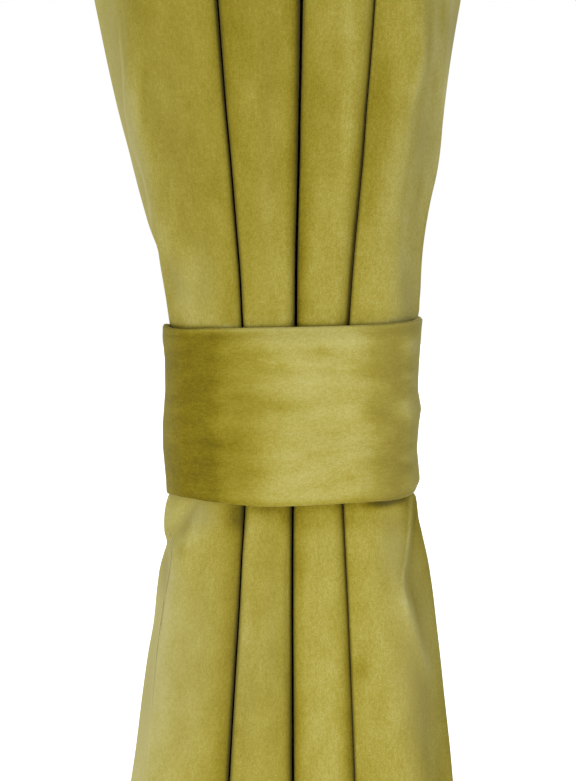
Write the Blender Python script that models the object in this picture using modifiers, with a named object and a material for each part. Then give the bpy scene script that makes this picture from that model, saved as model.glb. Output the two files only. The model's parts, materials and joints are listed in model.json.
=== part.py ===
"""A velvet curtain gathered at its middle by a wide band of the same cloth.

Metres, +Z up, +X to the right and the front facing -Y. The origin is the middle of the curtain's top edge,
from which it hangs. The panel is one sheet. Across its width it runs back and forth in four folds, and the
same length of cloth goes round each fold at every height, so a fold that is narrower is deeper.
"""

import math
from collections import namedtuple

import bmesh
import bpy
import numpy as np

# The panel as it is cut and sewn.
PANEL_DROP = 2.290
PANEL_FLAT_WIDTH = 1.168
FOLDS = 4
HALF_FOLD_CLOTH = PANEL_FLAT_WIDTH / (2 * FOLDS)
CLOTH = 0.0018
HEM_CLOTH = 0.0030
TOP_HEM = 0.060
SIDE_HEM = 0.030
BOTTOM_HEM = 0.100

# The band as it is sewn, and how far its middle sits below the curtain's top edge. Its outer end rises over
# its inner end along LAP_RISE, and is fully lifted LAP_MARGIN before it reaches it.
TIE_DROP = 1.300
BAND_HEIGHT = 0.100
BAND_THICK = 0.0042
BAND_LAP = 0.090
LAP_RISE = 0.040
LAP_MARGIN = 0.006

# The gap from the cloth to the band, and from the band to its own lap. The band goes round every row of the
# cloth that lies within its height and BAND_MARGIN past it.
BAND_CLEAR = 0.0005
LAP_CLEAR = 0.0006
BAND_MARGIN = 0.007

# Where the cloth lies across the width at each height above the band's middle. An edge is the outermost point
# of the cloth, a face is where the outer fold turns back, and a crease is the slit between two folds.
Section = namedtuple(
    "Section",
    "above_tie left_edge left_face crease_1 crease_2 crease_3 right_face right_edge",
)
SECTIONS = (
    Section(1.300, -0.3200, -0.2750, -0.1600, 0.0000, 0.1600, 0.2750, 0.3200),
    Section(0.650, -0.2060, -0.1660, -0.0860, 0.0070, 0.0940, 0.1600, 0.1870),
    Section(0.236, -0.1150, -0.0938, -0.0414, 0.0056, 0.0455, 0.0727, 0.0992),
    Section(0.190, -0.1053, -0.0915, -0.0378, 0.0045, 0.0418, 0.0683, 0.0925),
    Section(0.145, -0.0938, -0.0835, -0.0341, 0.0034, 0.0382, 0.0572, 0.0868),
    Section(0.120, -0.0873, -0.0790, -0.0321, 0.0028, 0.0362, 0.0565, 0.0814),
    Section(0.099, -0.0792, -0.0743, -0.0302, 0.0022, 0.0344, 0.0570, 0.0779),
    Section(0.080, -0.0744, -0.0710, -0.0286, 0.0020, 0.0327, 0.0600, 0.0752),
    Section(0.066, -0.0700, -0.0690, -0.0274, 0.0018, 0.0314, 0.0630, 0.0741),
    Section(0.056, -0.0674, -0.0667, -0.0268, 0.0016, 0.0307, 0.0640, 0.0680),
    Section(0.045, -0.0672, -0.0667, -0.0266, 0.0014, 0.0304, 0.0645, 0.0670),
    Section(0.000, -0.0672, -0.0668, -0.0265, 0.0010, 0.0298, 0.0650, 0.0668),
    Section(-0.040, -0.0672, -0.0668, -0.0265, 0.0004, 0.0287, 0.0640, 0.0668),
    Section(-0.048, -0.0675, -0.0670, -0.0266, 0.0003, 0.0286, 0.0642, 0.0671),
    Section(-0.061, -0.0744, -0.0705, -0.0266, 0.0002, 0.0284, 0.0650, 0.0733),
    Section(-0.075, -0.0724, -0.0668, -0.0275, 0.0002, 0.0294, 0.0636, 0.0770),
    Section(-0.095, -0.0777, -0.0688, -0.0288, 0.0002, 0.0309, 0.0613, 0.0813),
    Section(-0.111, -0.0802, -0.0722, -0.0300, 0.0002, 0.0318, 0.0703, 0.0837),
    Section(-0.129, -0.0826, -0.0772, -0.0312, 0.0002, 0.0326, 0.0748, 0.0860),
    Section(-0.209, -0.0936, -0.0838, -0.0351, 0.0006, 0.0347, 0.0880, 0.0944),
    Section(-0.600, -0.1350, -0.1220, -0.0550, 0.0000, 0.0530, 0.1180, 0.1290),
    Section(-0.990, -0.1720, -0.1560, -0.0750, -0.0010, 0.0720, 0.1490, 0.1640),
)

# How the folds are turned at each height. A gap is the distance from the cloth of one fold to that of the
# next, middle to middle, a round is the radius of a turn, and end_turn is the angle in degrees between the
# width's line and the cloth at the panel's side edge.
Turning = namedtuple(
    "Turning",
    "above_tie front_gap front_round back_gap back_round left_round right_round end_turn",
)
TURNINGS = (
    Turning(1.300, 0.0900, 0.0340, 0.0900, 0.0340, 0.0340, 0.0340, 0.0),
    Turning(0.650, 0.0200, 0.0190, 0.0320, 0.0180, 0.0180, 0.0180, 60.0),
    Turning(0.236, 0.0030, 0.0095, 0.0090, 0.0110, 0.0110, 0.0100, 88.0),
    Turning(0.099, 0.0029, 0.0080, 0.0050, 0.0090, 0.0160, 0.0130, 110.0),
    Turning(0.000, 0.0028, 0.0075, 0.0034, 0.0085, 0.0280, 0.0210, 150.0),
    Turning(-0.095, 0.0029, 0.0080, 0.0050, 0.0090, 0.0150, 0.0120, 115.0),
    Turning(-0.209, 0.0030, 0.0090, 0.0080, 0.0100, 0.0120, 0.0120, 95.0),
    Turning(-0.990, 0.0140, 0.0160, 0.0220, 0.0160, 0.0180, 0.0180, 45.0),
)

# The radius of the turn beside the panel's side edge, and the least straight stretch between two turns.
END_ROUND = 0.034
LEAST_FLAT = 0.0008

# The turn of a fold's side from its front, in degrees, is found between these two by halving.
LEAST_TURN = 20
MOST_TURN = 150
HALVINGS = 40

# How far the front of each fold stands forward of the row of folds at each height.
FoldStand = namedtuple("FoldStand", "above_tie fold_1 fold_2 fold_3 fold_4")
FOLD_STANDS = (
    FoldStand(1.300, 0.0000, 0.0060, -0.0040, 0.0030),
    FoldStand(0.236, -0.0020, 0.0010, 0.0000, -0.0030),
    FoldStand(0.000, 0.0000, 0.0000, 0.0000, 0.0000),
    FoldStand(-0.209, -0.0010, 0.0000, 0.0010, -0.0020),
    FoldStand(-0.990, 0.0030, -0.0050, 0.0040, -0.0020),
)

# The rows of the mesh between two heights above the band's middle.
Rows = namedtuple("Rows", "upper lower steps")
ROWS = (
    Rows(1.300, 0.236, 8),
    Rows(0.236, 0.064, 6),
    Rows(0.064, 0.056, 1),
    Rows(0.056, -0.048, 4),
    Rows(-0.048, -0.061, 1),
    Rows(-0.061, -0.209, 6),
    Rows(-0.209, -0.990, 7),
)

# The steps of the mesh along half a fold. An inner half has a straight, a turn, a straight, a turn and a
# straight, and the outermost half has a straight, a turn, a straight and the turn beside the side edge.
INNER_STEPS = (1, 3, 2, 3, 1)
OUTER_STEPS = (1, 3, 3, 2)

# The band's own uneven set, by the share of the way round from the middle of the back and past the right
# side: how much its top and bottom edges rise, and how far they stand off the cloth.
BandSet = namedtuple("BandSet", "round top_rise bottom_rise top_off bottom_off")
BAND_SETS = (
    BandSet(0.00, 0.0000, 0.0000, 0.0000, 0.0000),
    BandSet(0.13, 0.0035, 0.0050, 0.0006, 0.0004),
    BandSet(0.22, 0.0060, 0.0085, 0.0018, 0.0004),
    BandSet(0.26, 0.0061, 0.0090, 0.0020, 0.0000),
    BandSet(0.31, 0.0052, 0.0060, 0.0006, 0.0002),
    BandSet(0.36, 0.0034, 0.0047, 0.0003, 0.0003),
    BandSet(0.41, 0.0016, 0.0032, 0.0003, 0.0004),
    BandSet(0.46, 0.0010, 0.0028, 0.0004, 0.0007),
    BandSet(0.51, 0.0009, 0.0074, 0.0008, 0.0007),
    BandSet(0.55, 0.0009, 0.0094, 0.0010, 0.0004),
    BandSet(0.60, 0.0010, 0.0092, 0.0009, 0.0004),
    BandSet(0.75, 0.0010, 0.0040, 0.0008, 0.0004),
    BandSet(0.88, 0.0004, 0.0010, 0.0004, 0.0002),
    BandSet(1.00, 0.0000, 0.0000, 0.0000, 0.0000),
)

# The band's stations in one round, read from an outline of OUTLINE_STEPS equal turns. Each radian of turn
# takes as many stations as CORNER_SHARE metres of straight.
BAND_STATIONS = 84
OUTLINE_STEPS = 1440
CORNER_SHARE = 0.012

# The rim of the band's section, up its inner face, over its soft top edge and down its outer face: a share of
# half the thickness, the top end or the bottom end, and how far the soft edge stands past the face, as a
# share of the thickness.
RimPoint = namedtuple("RimPoint", "depth end past")
BAND_RIM = (
    RimPoint(-1.00, -1, 0.0),
    RimPoint(-1.00, 1, 0.0),
    RimPoint(-0.55, 1, 0.4),
    RimPoint(0.55, 1, 0.4),
    RimPoint(1.00, 1, 0.0),
    RimPoint(1.00, -1, 0.0),
    RimPoint(0.55, -1, 0.4),
    RimPoint(-0.55, -1, 0.4),
)

# The two cloths' colours in linear light, and how matt their pile is.
VELVET = (0.383, 0.325, 0.055, 1.0)
BAND_VELVET = (0.340, 0.280, 0.045, 1.0)
VELVET_ROUGHNESS = 0.85


def column(table, name, at):
    """The named column of a table as a smooth curve through its rows, read at the given places."""
    places = np.array([row[0] for row in table])
    values = np.array([getattr(row, name) for row in table])
    order = np.argsort(places)
    places, values = places[order], values[order]
    slopes = np.gradient(values, places)
    at = np.clip(at, places[0], places[-1])
    left = np.clip(np.searchsorted(places, at, side="right") - 1, 0, len(places) - 2)
    span = places[left + 1] - places[left]
    t = (at - places[left]) / span
    return (
        (2 * t**3 - 3 * t**2 + 1) * values[left]
        + (t**3 - 2 * t**2 + t) * span * slopes[left]
        + (3 * t**2 - 2 * t**3) * values[left + 1]
        + (t**3 - t**2) * span * slopes[left + 1]
    )


def stations(breaks, counts):
    """Each stretch between two breaks cut into equal steps, as one row of places for each height."""
    pieces = [
        start[:, None] + (end - start)[:, None] * np.arange(count) / count
        for start, end, count in zip(breaks[:-1], breaks[1:], counts)
    ]
    return np.concatenate(pieces + [breaks[-1][:, None]], axis=1)


def walk(along, heading):
    """The points reached by going along the cloth with these headings: (sideways, back) from the start."""
    step = np.diff(along, axis=1)
    turn = np.diff(heading, axis=1)
    middle = heading[:, :-1] + turn / 2
    chord = step * np.sinc(turn / (2 * math.pi))
    start = np.zeros((len(along), 1))
    sideways = np.concatenate([start, np.cumsum(chord * np.cos(middle), axis=1)], axis=1)
    back = np.concatenate([start, np.cumsum(chord * np.sin(middle), axis=1)], axis=1)
    return sideways, back


def ramp(along, start, length):
    """0 before the start, 1 past the end, and an even rise between."""
    return np.clip((along - start[:, None]) / np.maximum(length, 1e-9)[:, None], 0.0, 1.0)


def solve(measure, target):
    """The angle at which a measure that falls as the angle grows meets its target, at each height."""
    low = np.full(len(target), math.radians(LEAST_TURN))
    high = np.full(len(target), math.radians(MOST_TURN))
    for _ in range(HALVINGS):
        middle = (low + high) / 2
        above = measure(middle) > target
        low, high = np.where(above, middle, low), np.where(above, high, middle)
    return (low + high) / 2


def inner_half(width, front_gap, front_round, back_gap, back_round):
    """Half a fold, from the middle of its front to the middle of the turn behind it."""
    face = np.maximum(width - front_gap / 2 - front_round, LEAST_FLAT)
    rear = np.maximum(width - back_gap / 2 - back_round, LEAST_FLAT)
    cloth = np.full(len(width), HALF_FOLD_CLOTH)

    def path(angle):
        turns = (front_round * angle, back_round * angle)
        breaks = [0 * cloth, face, face + turns[0], cloth - rear - turns[1], cloth - rear, cloth]
        along = stations(breaks, INNER_STEPS)
        forward = ramp(along, breaks[1], turns[0])
        backward = ramp(along, breaks[3], turns[1])
        return along, *walk(along, angle[:, None] * (forward - backward))

    angle = solve(lambda turned: path(turned)[1][:, -1], width)
    return path(angle)


def outer_half(width, face_width, side_round, end_turn):
    """The outermost half fold, from the middle of its front round to the panel's side edge."""
    width = np.maximum(width, face_width + LEAST_FLAT)
    side_round = np.minimum(side_round, face_width - LEAST_FLAT)
    face = face_width - side_round
    cloth = np.full(len(width), HALF_FOLD_CLOTH)

    def path(angle):
        turn = side_round * angle
        last = END_ROUND * np.abs(end_turn - angle)
        breaks = [0 * cloth, face, face + turn, cloth - last, cloth]
        along = stations(breaks, OUTER_STEPS)
        heading = angle[:, None] * ramp(along, breaks[1], turn)
        heading = heading + (end_turn - angle)[:, None] * ramp(along, breaks[3], last)
        return along, *walk(along, heading)

    angle = solve(lambda turned: path(turned)[1].max(axis=1), width)
    return path(angle)


def panel_sections(above_tie):
    """The middle of the cloth at each height, as (along, x, y) from the left side edge to the right."""
    edge_left = column(SECTIONS, "left_edge", above_tie)
    edge_right = column(SECTIONS, "right_edge", above_tie)
    face_left = column(SECTIONS, "left_face", above_tie)
    face_right = column(SECTIONS, "right_face", above_tie)
    creases = [column(SECTIONS, f"crease_{n}", above_tie) for n in range(1, FOLDS)]
    stands = [column(FOLD_STANDS, f"fold_{n}", above_tie) for n in range(1, FOLDS + 1)]
    turning = {name: column(TURNINGS, name, above_tie) for name in Turning._fields[1:]}

    # A crease lies midway between the fronts beside it, and the second front midway between its creases.
    second = (creases[0] + creases[1]) / 2
    third = 2 * creases[1] - second
    fronts = [2 * creases[0] - second, second, third, 2 * creases[2] - third]

    halves = [
        inner_half(
            crease - front,
            turning["front_gap"],
            turning["front_round"],
            turning["back_gap"],
            turning["back_round"],
        )
        for crease, front in zip(creases, fronts)
    ]
    depth = np.mean([half[2][:, -1] for half in halves], axis=0)
    half_cloth = CLOTH / 2
    end_turn = np.radians(turning["end_turn"])
    left = outer_half(
        fronts[0] - edge_left - half_cloth,
        fronts[0] - face_left - half_cloth,
        turning["left_round"],
        end_turn,
    )
    right = outer_half(
        edge_right - fronts[3] - half_cloth,
        face_right - fronts[3] - half_cloth,
        turning["right_round"],
        end_turn,
    )

    def placed(half, front_x, stand, side):
        """A half fold in its place, with its front forward by the fold's own stand and its back as it was."""
        along, sideways, back = half
        forward = (1 + np.cos(math.pi * back / back.max(axis=1)[:, None])) / 2
        y = back - (depth / 2)[:, None] - stand[:, None] * forward
        return along, front_x[:, None] + side * sideways, y

    runs = [tuple(part[:, ::-1] for part in placed(left, fronts[0], stands[0], -1))]
    for n, half in enumerate(halves):
        runs.append(placed(half, fronts[n], stands[n], 1))
        runs.append(tuple(part[:, ::-1] for part in placed(half, fronts[n + 1], stands[n + 1], -1)))
    runs.append(placed(right, fronts[3], stands[3], 1))

    # The runs meet at the fronts and the backs, and each such point is kept once. Runs of even number come
    # toward the front, so their cloth is counted from the other end.
    along, x, y = [], [], []
    for n, (place, run_x, run_y) in enumerate(runs):
        toward_back = n % 2 == 1
        from_start = place if toward_back else HALF_FOLD_CLOTH - place
        skip = 0 if n == 0 else 1
        along.append((n * HALF_FOLD_CLOTH + from_start)[:, skip:])
        x.append(run_x[:, skip:])
        y.append(run_y[:, skip:])
    return tuple(np.concatenate(part, axis=1) for part in (along, x, y))


def row_heights():
    """The heights of the mesh's rows above the band's middle, from the top edge down."""
    heights = [np.linspace(rows.upper, rows.lower, rows.steps, endpoint=False) for rows in ROWS]
    return np.append(np.concatenate(heights), ROWS[-1].lower)


def hull(points):
    """The convex outline of points in the plane, counterclockwise."""
    points = sorted(map(tuple, points))

    def chain(ordered):
        kept = []
        for x, y in ordered:
            while len(kept) > 1:
                (ax, ay), (bx, by) = kept[-2:]
                if (bx - ax) * (y - ay) - (by - ay) * (x - ax) > 0:
                    break
                kept.pop()
            kept.append((x, y))
        return kept[:-1]

    return np.array(chain(points) + chain(reversed(points)))


def offset_outline(points, distance, count):
    """Places round a convex outline at this distance, clockwise from its back and closer at its corners.

    It returns the places, the outward direction at each, and the length of the whole outline.
    """
    angles = math.pi / 2 - np.linspace(0.0, 2 * math.pi, OUTLINE_STEPS + 1)
    outward = np.stack([np.cos(angles), np.sin(angles)], axis=1)
    reached = points[np.argmax(outward @ points.T, axis=1)] + distance * outward
    steps = np.linalg.norm(np.diff(reached, axis=0), axis=1)
    spread = np.append(0.0, np.cumsum(steps + CORNER_SHARE * np.abs(np.diff(angles))))
    wanted = np.linspace(0.0, spread[-1], count, endpoint=False)
    x = np.interp(wanted, spread, reached[:, 0])
    y = np.interp(wanted, spread, reached[:, 1])
    turned = np.interp(wanted, spread, angles)
    return np.stack([x, y], axis=1), np.stack([np.cos(turned), np.sin(turned)], axis=1), steps.sum()


def new_object(name, bm, collection, colour):
    mesh = bpy.data.meshes.new(name)
    bm.to_mesh(mesh)
    bm.free()
    mesh.shade_smooth()
    obj = bpy.data.objects.new(name, mesh)
    collection.objects.link(obj)
    material = bpy.data.materials.new(name + "_velvet")
    material.use_nodes = True
    shader = material.node_tree.nodes["Principled BSDF"]
    shader.inputs["Base Color"].default_value = colour
    shader.inputs["Roughness"].default_value = VELVET_ROUGHNESS
    shader.inputs["Metallic"].default_value = 0.0
    mesh.materials.append(material)
    return obj


def make_panel(collection):
    """The curtain as one sheet: a grid of the sections, thickened, and thicker along its hemmed edges."""
    heights = row_heights()
    along, x, y = panel_sections(heights)
    bm = bmesh.new()
    grid = [
        [bm.verts.new((x[r, c], y[r, c], heights[r] - TIE_DROP)) for c in range(x.shape[1])]
        for r in range(len(heights))
    ]
    for upper, lower in zip(grid[:-1], grid[1:]):
        for c in range(len(upper) - 1):
            bm.faces.new((lower[c], lower[c + 1], upper[c + 1], upper[c]))
    panel = new_object("curtain_panel", bm, collection, VELVET)

    drop = TIE_DROP - heights
    hemmed = (drop < TOP_HEM) | (drop > PANEL_DROP - BOTTOM_HEM)
    side = np.minimum(along, PANEL_FLAT_WIDTH - along) < SIDE_HEM
    weights = np.where(hemmed[:, None] | side, 1.0, CLOTH / HEM_CLOTH)
    group = panel.vertex_groups.new(name="cloth_thickness")
    for n, weight in enumerate(weights.ravel()):
        group.add([n], float(weight), "REPLACE")
    thicken = panel.modifiers.new("cloth", "SOLIDIFY")
    thicken.thickness = HEM_CLOTH
    thicken.offset = 0.0
    thicken.vertex_group = group.name
    thicken.use_even_offset = True
    return panel


def band_route():
    """The middle of the band in plan, from its inner end at the back once round and over its own start.

    It returns the places, the outward direction and the share of the way round at each, and how far each is
    lifted off the cloth, so that the outer end passes over the inner one.
    """
    heights = row_heights()
    heights = heights[np.abs(heights) < BAND_HEIGHT / 2 + BAND_MARGIN]
    _, x, y = panel_sections(heights)
    outline = hull(np.stack([x.ravel(), y.ravel()], axis=1))
    clear = CLOTH / 2 + BAND_CLEAR + BAND_THICK / 2
    ring, outward, length = offset_outline(outline, clear, BAND_STATIONS)
    spacing = length / BAND_STATIONS
    start = int(np.argmin(np.abs(ring[:, 0] + BAND_LAP / 2) + np.maximum(-ring[:, 1], 0.0)))
    order = start + np.arange(BAND_STATIONS + round(BAND_LAP / spacing) + 1)
    before_lap = (order - start - BAND_STATIONS) * spacing
    lift = (BAND_THICK + LAP_CLEAR) * np.clip(1.0 + (before_lap + LAP_MARGIN) / LAP_RISE, 0.0, 1.0)
    order = order % BAND_STATIONS
    return ring[order], outward[order], order / BAND_STATIONS, lift


def make_band(collection):
    """The tieback: a flat tube of cloth with soft edges, lapped over its own end at the back."""
    places, outward, share, lift = band_route()
    sets = {name: column(BAND_SETS, name, share) for name in BandSet._fields[1:]}
    bm = bmesh.new()
    loops = []
    for n, (place, out) in enumerate(zip(places, outward)):
        loop = []
        for depth, end, past in BAND_RIM:
            rise, off = ("top_rise", "top_off") if end > 0 else ("bottom_rise", "bottom_off")
            height = end * ((BAND_HEIGHT - BAND_THICK) / 2 + past * BAND_THICK) + sets[rise][n]
            x, y = place + out * (depth * BAND_THICK / 2 + lift[n] + sets[off][n])
            loop.append(bm.verts.new((x, y, height - TIE_DROP)))
        loops.append(loop)
    for first, second in zip(loops[:-1], loops[1:]):
        for n in range(len(BAND_RIM)):
            following = (n + 1) % len(BAND_RIM)
            bm.faces.new((first[n], second[n], second[following], first[following]))
    bm.faces.new(loops[0])
    bm.faces.new(list(reversed(loops[-1])))
    bmesh.ops.recalc_face_normals(bm, faces=bm.faces)
    return new_object("tieback_band", bm, collection, BAND_VELVET)


def main():
    for old in list(bpy.data.objects):
        bpy.data.objects.remove(old, do_unlink=True)
    collection = bpy.data.collections.new("velvet_curtain")
    bpy.context.scene.collection.children.link(collection)
    make_panel(collection)
    make_band(collection)


main()
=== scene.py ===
# %% [markdown]
# A velvet curtain drawn in by a wide band
#
# The real object is two sewn pieces. One is a long width of short-pile velvet that hangs in deep folds. The
# other is a flat tube of the same velvet, wrapped once round the folds and lapped over its own end behind
# them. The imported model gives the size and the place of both. Each step below rebuilds one piece over its
# solid with finer folds, and then gives it its pile, its colours and its sewing.

import json
import math
from collections import namedtuple

import bpy
import numpy as np
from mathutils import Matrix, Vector, noise

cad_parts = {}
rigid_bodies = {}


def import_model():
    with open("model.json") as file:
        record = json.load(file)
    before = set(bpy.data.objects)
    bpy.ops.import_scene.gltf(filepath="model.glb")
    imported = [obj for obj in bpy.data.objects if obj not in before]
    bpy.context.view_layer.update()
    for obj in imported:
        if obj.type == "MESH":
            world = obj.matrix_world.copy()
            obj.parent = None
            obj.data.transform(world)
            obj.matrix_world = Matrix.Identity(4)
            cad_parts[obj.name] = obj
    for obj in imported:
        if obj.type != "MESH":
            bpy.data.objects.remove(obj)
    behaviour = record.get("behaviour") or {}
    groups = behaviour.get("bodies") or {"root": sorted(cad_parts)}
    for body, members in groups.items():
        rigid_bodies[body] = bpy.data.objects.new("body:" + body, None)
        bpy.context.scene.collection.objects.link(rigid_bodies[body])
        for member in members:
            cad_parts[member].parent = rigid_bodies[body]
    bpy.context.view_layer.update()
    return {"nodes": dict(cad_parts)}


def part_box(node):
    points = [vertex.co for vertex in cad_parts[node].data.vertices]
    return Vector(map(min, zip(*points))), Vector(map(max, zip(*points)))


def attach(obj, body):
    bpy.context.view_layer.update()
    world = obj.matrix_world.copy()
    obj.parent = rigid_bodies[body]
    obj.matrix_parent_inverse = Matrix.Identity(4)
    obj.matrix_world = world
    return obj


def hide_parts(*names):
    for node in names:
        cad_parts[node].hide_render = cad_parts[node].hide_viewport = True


for old in list(bpy.data.objects):
    bpy.data.objects.remove(old, do_unlink=True)
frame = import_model()
panel_low, panel_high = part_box("curtain_panel")
print("solids:", sorted(frame["nodes"]), "height", round(panel_high.z - panel_low.z, 3), "m")

# %% [markdown]
# The cut cloth
#
# A curtain starts as a rectangle. Its width is gathered into four folds, so an eighth of the width goes to
# each half fold, from the front of a fold to the turn behind it. That length never changes, whatever the
# fold does, because velvet hardly stretches. The hems are the same cloth turned in and sewn down.

# %% Sizes of the cloth in metres
PANEL_DROP = 2.290
PANEL_FLAT_WIDTH = 1.168
FOLDS = 4
HALF_FOLD_CLOTH = PANEL_FLAT_WIDTH / (2 * FOLDS)
CLOTH = 0.0018
HEM_EXTRA = 0.0012
TOP_HEM = 0.060
SIDE_HEM = 0.030
BOTTOM_HEM = 0.100
HEM_STEP = 0.0015

TIE_DROP = 1.300
BAND_HEIGHT = 0.100
BAND_THICK = 0.0042
BAND_LAP = 0.090
LAP_RISE = 0.040
LAP_MARGIN = 0.006
BAND_CLEAR = 0.0005
LAP_CLEAR = 0.0006
BAND_REACH = 0.0395
print("cloth in half a fold:", round(HALF_FOLD_CLOTH * 1000), "mm")

# %% [markdown]
# How the folds lie
#
# The folds could be simulated, but cloth drawn in this tightly explodes or crumples in a solver, and the
# folds here are known one by one. So they are placed as a dressmaker would dress them. One table
# gives the slits between the folds and the far edges of the two outer faces, at a few heights. The next gives
# the curtain's outline, which has more small turns of its own. Heights are counted from the middle of the
# band, and a smooth curve runs through each column of a table.

# %% Where the cloth lies at each height
Section = namedtuple("Section", "above_tie left_face crease_1 crease_2 crease_3 right_face")
SECTIONS = (
    Section(1.300, -0.2750, -0.1600, 0.0000, 0.1600, 0.2750),
    Section(0.650, -0.1660, -0.0860, 0.0070, 0.0940, 0.1600),
    Section(0.236, -0.0895, -0.0410, 0.0055, 0.0462, 0.0722),
    Section(0.190, -0.0897, -0.0375, 0.0048, 0.0428, 0.0714),
    Section(0.172, -0.0885, -0.0361, 0.0044, 0.0412, 0.0665),
    Section(0.145, -0.0815, -0.0336, 0.0040, 0.0393, 0.0640),
    Section(0.117, -0.0752, -0.0313, 0.0033, 0.0367, 0.0610),
    Section(0.099, -0.0730, -0.0298, 0.0028, 0.0350, 0.0597),
    Section(0.080, -0.0700, -0.0283, 0.0025, 0.0334, 0.0605),
    Section(0.060, -0.0670, -0.0273, 0.0024, 0.0320, 0.0630),
    Section(0.045, -0.0648, -0.0266, 0.0022, 0.0311, 0.0628),
    Section(0.000, -0.0648, -0.0262, 0.0015, 0.0300, 0.0628),
    Section(-0.043, -0.0650, -0.0257, 0.0008, 0.0284, 0.0628),
    Section(-0.049, -0.0670, -0.0258, 0.0007, 0.0286, 0.0646),
    Section(-0.060, -0.0690, -0.0264, 0.0006, 0.0291, 0.0643),
    Section(-0.077, -0.0672, -0.0275, 0.0005, 0.0299, 0.0621),
    Section(-0.089, -0.0690, -0.0281, 0.0005, 0.0305, 0.0610),
    Section(-0.103, -0.0718, -0.0288, 0.0005, 0.0312, 0.0652),
    Section(-0.118, -0.0737, -0.0297, 0.0005, 0.0319, 0.0697),
    Section(-0.137, -0.0757, -0.0309, 0.0006, 0.0327, 0.0740),
    Section(-0.172, -0.0787, -0.0330, 0.0007, 0.0341, 0.0740),
    Section(-0.209, -0.0820, -0.0351, 0.0008, 0.0355, 0.0765),
    Section(-0.600, -0.1220, -0.0550, 0.0000, 0.0530, 0.1180),
    Section(-0.990, -0.1560, -0.0750, -0.0010, 0.0720, 0.1490),
)

# %% Where the curtain's outline runs
Outline = namedtuple("Outline", "above_tie left right")
OUTLINE = (
    Outline(1.300, -0.3200, 0.3200),
    Outline(0.650, -0.2060, 0.1870),
    Outline(0.236, -0.1118, 0.0954),
    Outline(0.190, -0.1012, 0.0872),
    Outline(0.165, -0.0949, 0.0845),
    Outline(0.148, -0.0904, 0.0829),
    Outline(0.137, -0.0877, 0.0812),
    Outline(0.120, -0.0831, 0.0772),
    Outline(0.103, -0.0776, 0.0741),
    Outline(0.096, -0.0744, 0.0731),
    Outline(0.085, -0.0726, 0.0721),
    Outline(0.066, -0.0694, 0.0710),
    Outline(0.055, -0.0679, 0.0692),
    Outline(0.051, -0.0673, 0.0662),
    Outline(0.047, -0.0664, 0.0650),
    Outline(0.041, -0.0652, 0.0646),
    Outline(0.000, -0.0649, 0.0646),
    Outline(-0.039, -0.0649, 0.0646),
    Outline(-0.0405, -0.0664, 0.0656),
    Outline(-0.0425, -0.0681, 0.0687),
    Outline(-0.045, -0.0691, 0.0694),
    Outline(-0.050, -0.0702, 0.0699),
    Outline(-0.056, -0.0707, 0.0706),
    Outline(-0.062, -0.0705, 0.0721),
    Outline(-0.069, -0.0693, 0.0738),
    Outline(-0.075, -0.0710, 0.0753),
    Outline(-0.083, -0.0733, 0.0771),
    Outline(-0.092, -0.0746, 0.0786),
    Outline(-0.115, -0.0770, 0.0812),
    Outline(-0.128, -0.0795, 0.0826),
    Outline(-0.149, -0.0827, 0.0849),
    Outline(-0.190, -0.0881, 0.0896),
    Outline(-0.209, -0.0911, 0.0913),
    Outline(-0.600, -0.1350, 0.1290),
    Outline(-0.990, -0.1720, 0.1640),
)

# %% How tightly the folds turn at each height
Turning = namedtuple(
    "Turning",
    "above_tie front_gap front_round back_gap back_round left_round right_round "
    "left_facet right_facet end_turn",
)
TURNINGS = (
    Turning(1.300, 0.0900, 0.0340, 0.0900, 0.0340, 0.0340, 0.0340, 50.0, 50.0, 0.0),
    Turning(0.650, 0.0200, 0.0190, 0.0320, 0.0180, 0.0180, 0.0180, 60.0, 55.0, 60.0),
    Turning(0.236, 0.0030, 0.0095, 0.0090, 0.0110, 0.0150, 0.0080, 62.0, 56.0, 88.0),
    Turning(0.150, 0.0027, 0.0088, 0.0070, 0.0100, 0.0150, 0.0140, 64.0, 54.0, 98.0),
    Turning(0.099, 0.0027, 0.0080, 0.0050, 0.0090, 0.0160, 0.0200, 65.0, 50.0, 110.0),
    Turning(0.000, 0.0027, 0.0075, 0.0034, 0.0085, 0.0280, 0.0210, 65.0, 60.0, 150.0),
    Turning(-0.060, 0.0026, 0.0078, 0.0044, 0.0088, 0.0160, 0.0060, 62.0, 60.0, 128.0),
    Turning(-0.118, 0.0026, 0.0082, 0.0056, 0.0092, 0.0160, 0.0060, 60.0, 60.0, 110.0),
    Turning(-0.172, 0.0027, 0.0088, 0.0072, 0.0098, 0.0180, 0.0180, 60.0, 52.0, 100.0),
    Turning(-0.209, 0.0028, 0.0090, 0.0080, 0.0100, 0.0200, 0.0190, 60.0, 50.0, 95.0),
    Turning(-0.990, 0.0140, 0.0160, 0.0220, 0.0160, 0.0180, 0.0180, 55.0, 55.0, 45.0),
)
END_ROUND = 0.034
LEAST_FLAT = 0.0008

# No two slits are alike: each has its own width, and its own turn at its left and its right, as shares of
# the common ones above. One row holds below the band and one above it.
Slit = namedtuple("Slit", "above_tie width left_turn right_turn")
SLITS = (
    (Slit(-0.050, 1.05, 0.55, 0.50), Slit(0.050, 1.05, 0.45, 0.45)),
    (Slit(-0.050, 1.45, 0.65, 0.35), Slit(0.050, 1.60, 0.80, 0.40)),
    (Slit(-0.050, 0.08, 0.75, 0.25), Slit(0.050, 0.30, 1.05, 0.28)),
)

# Beyond its face an outer fold slants back to the curtain's outline, and then runs straight back. That and
# the differences of the slits hold within the band's sway, and are gone at twice as far from the band.
OUTLINE_ROUND = 0.006
BEHIND = math.radians(92.0)
BAND_SWAY = 0.35

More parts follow.
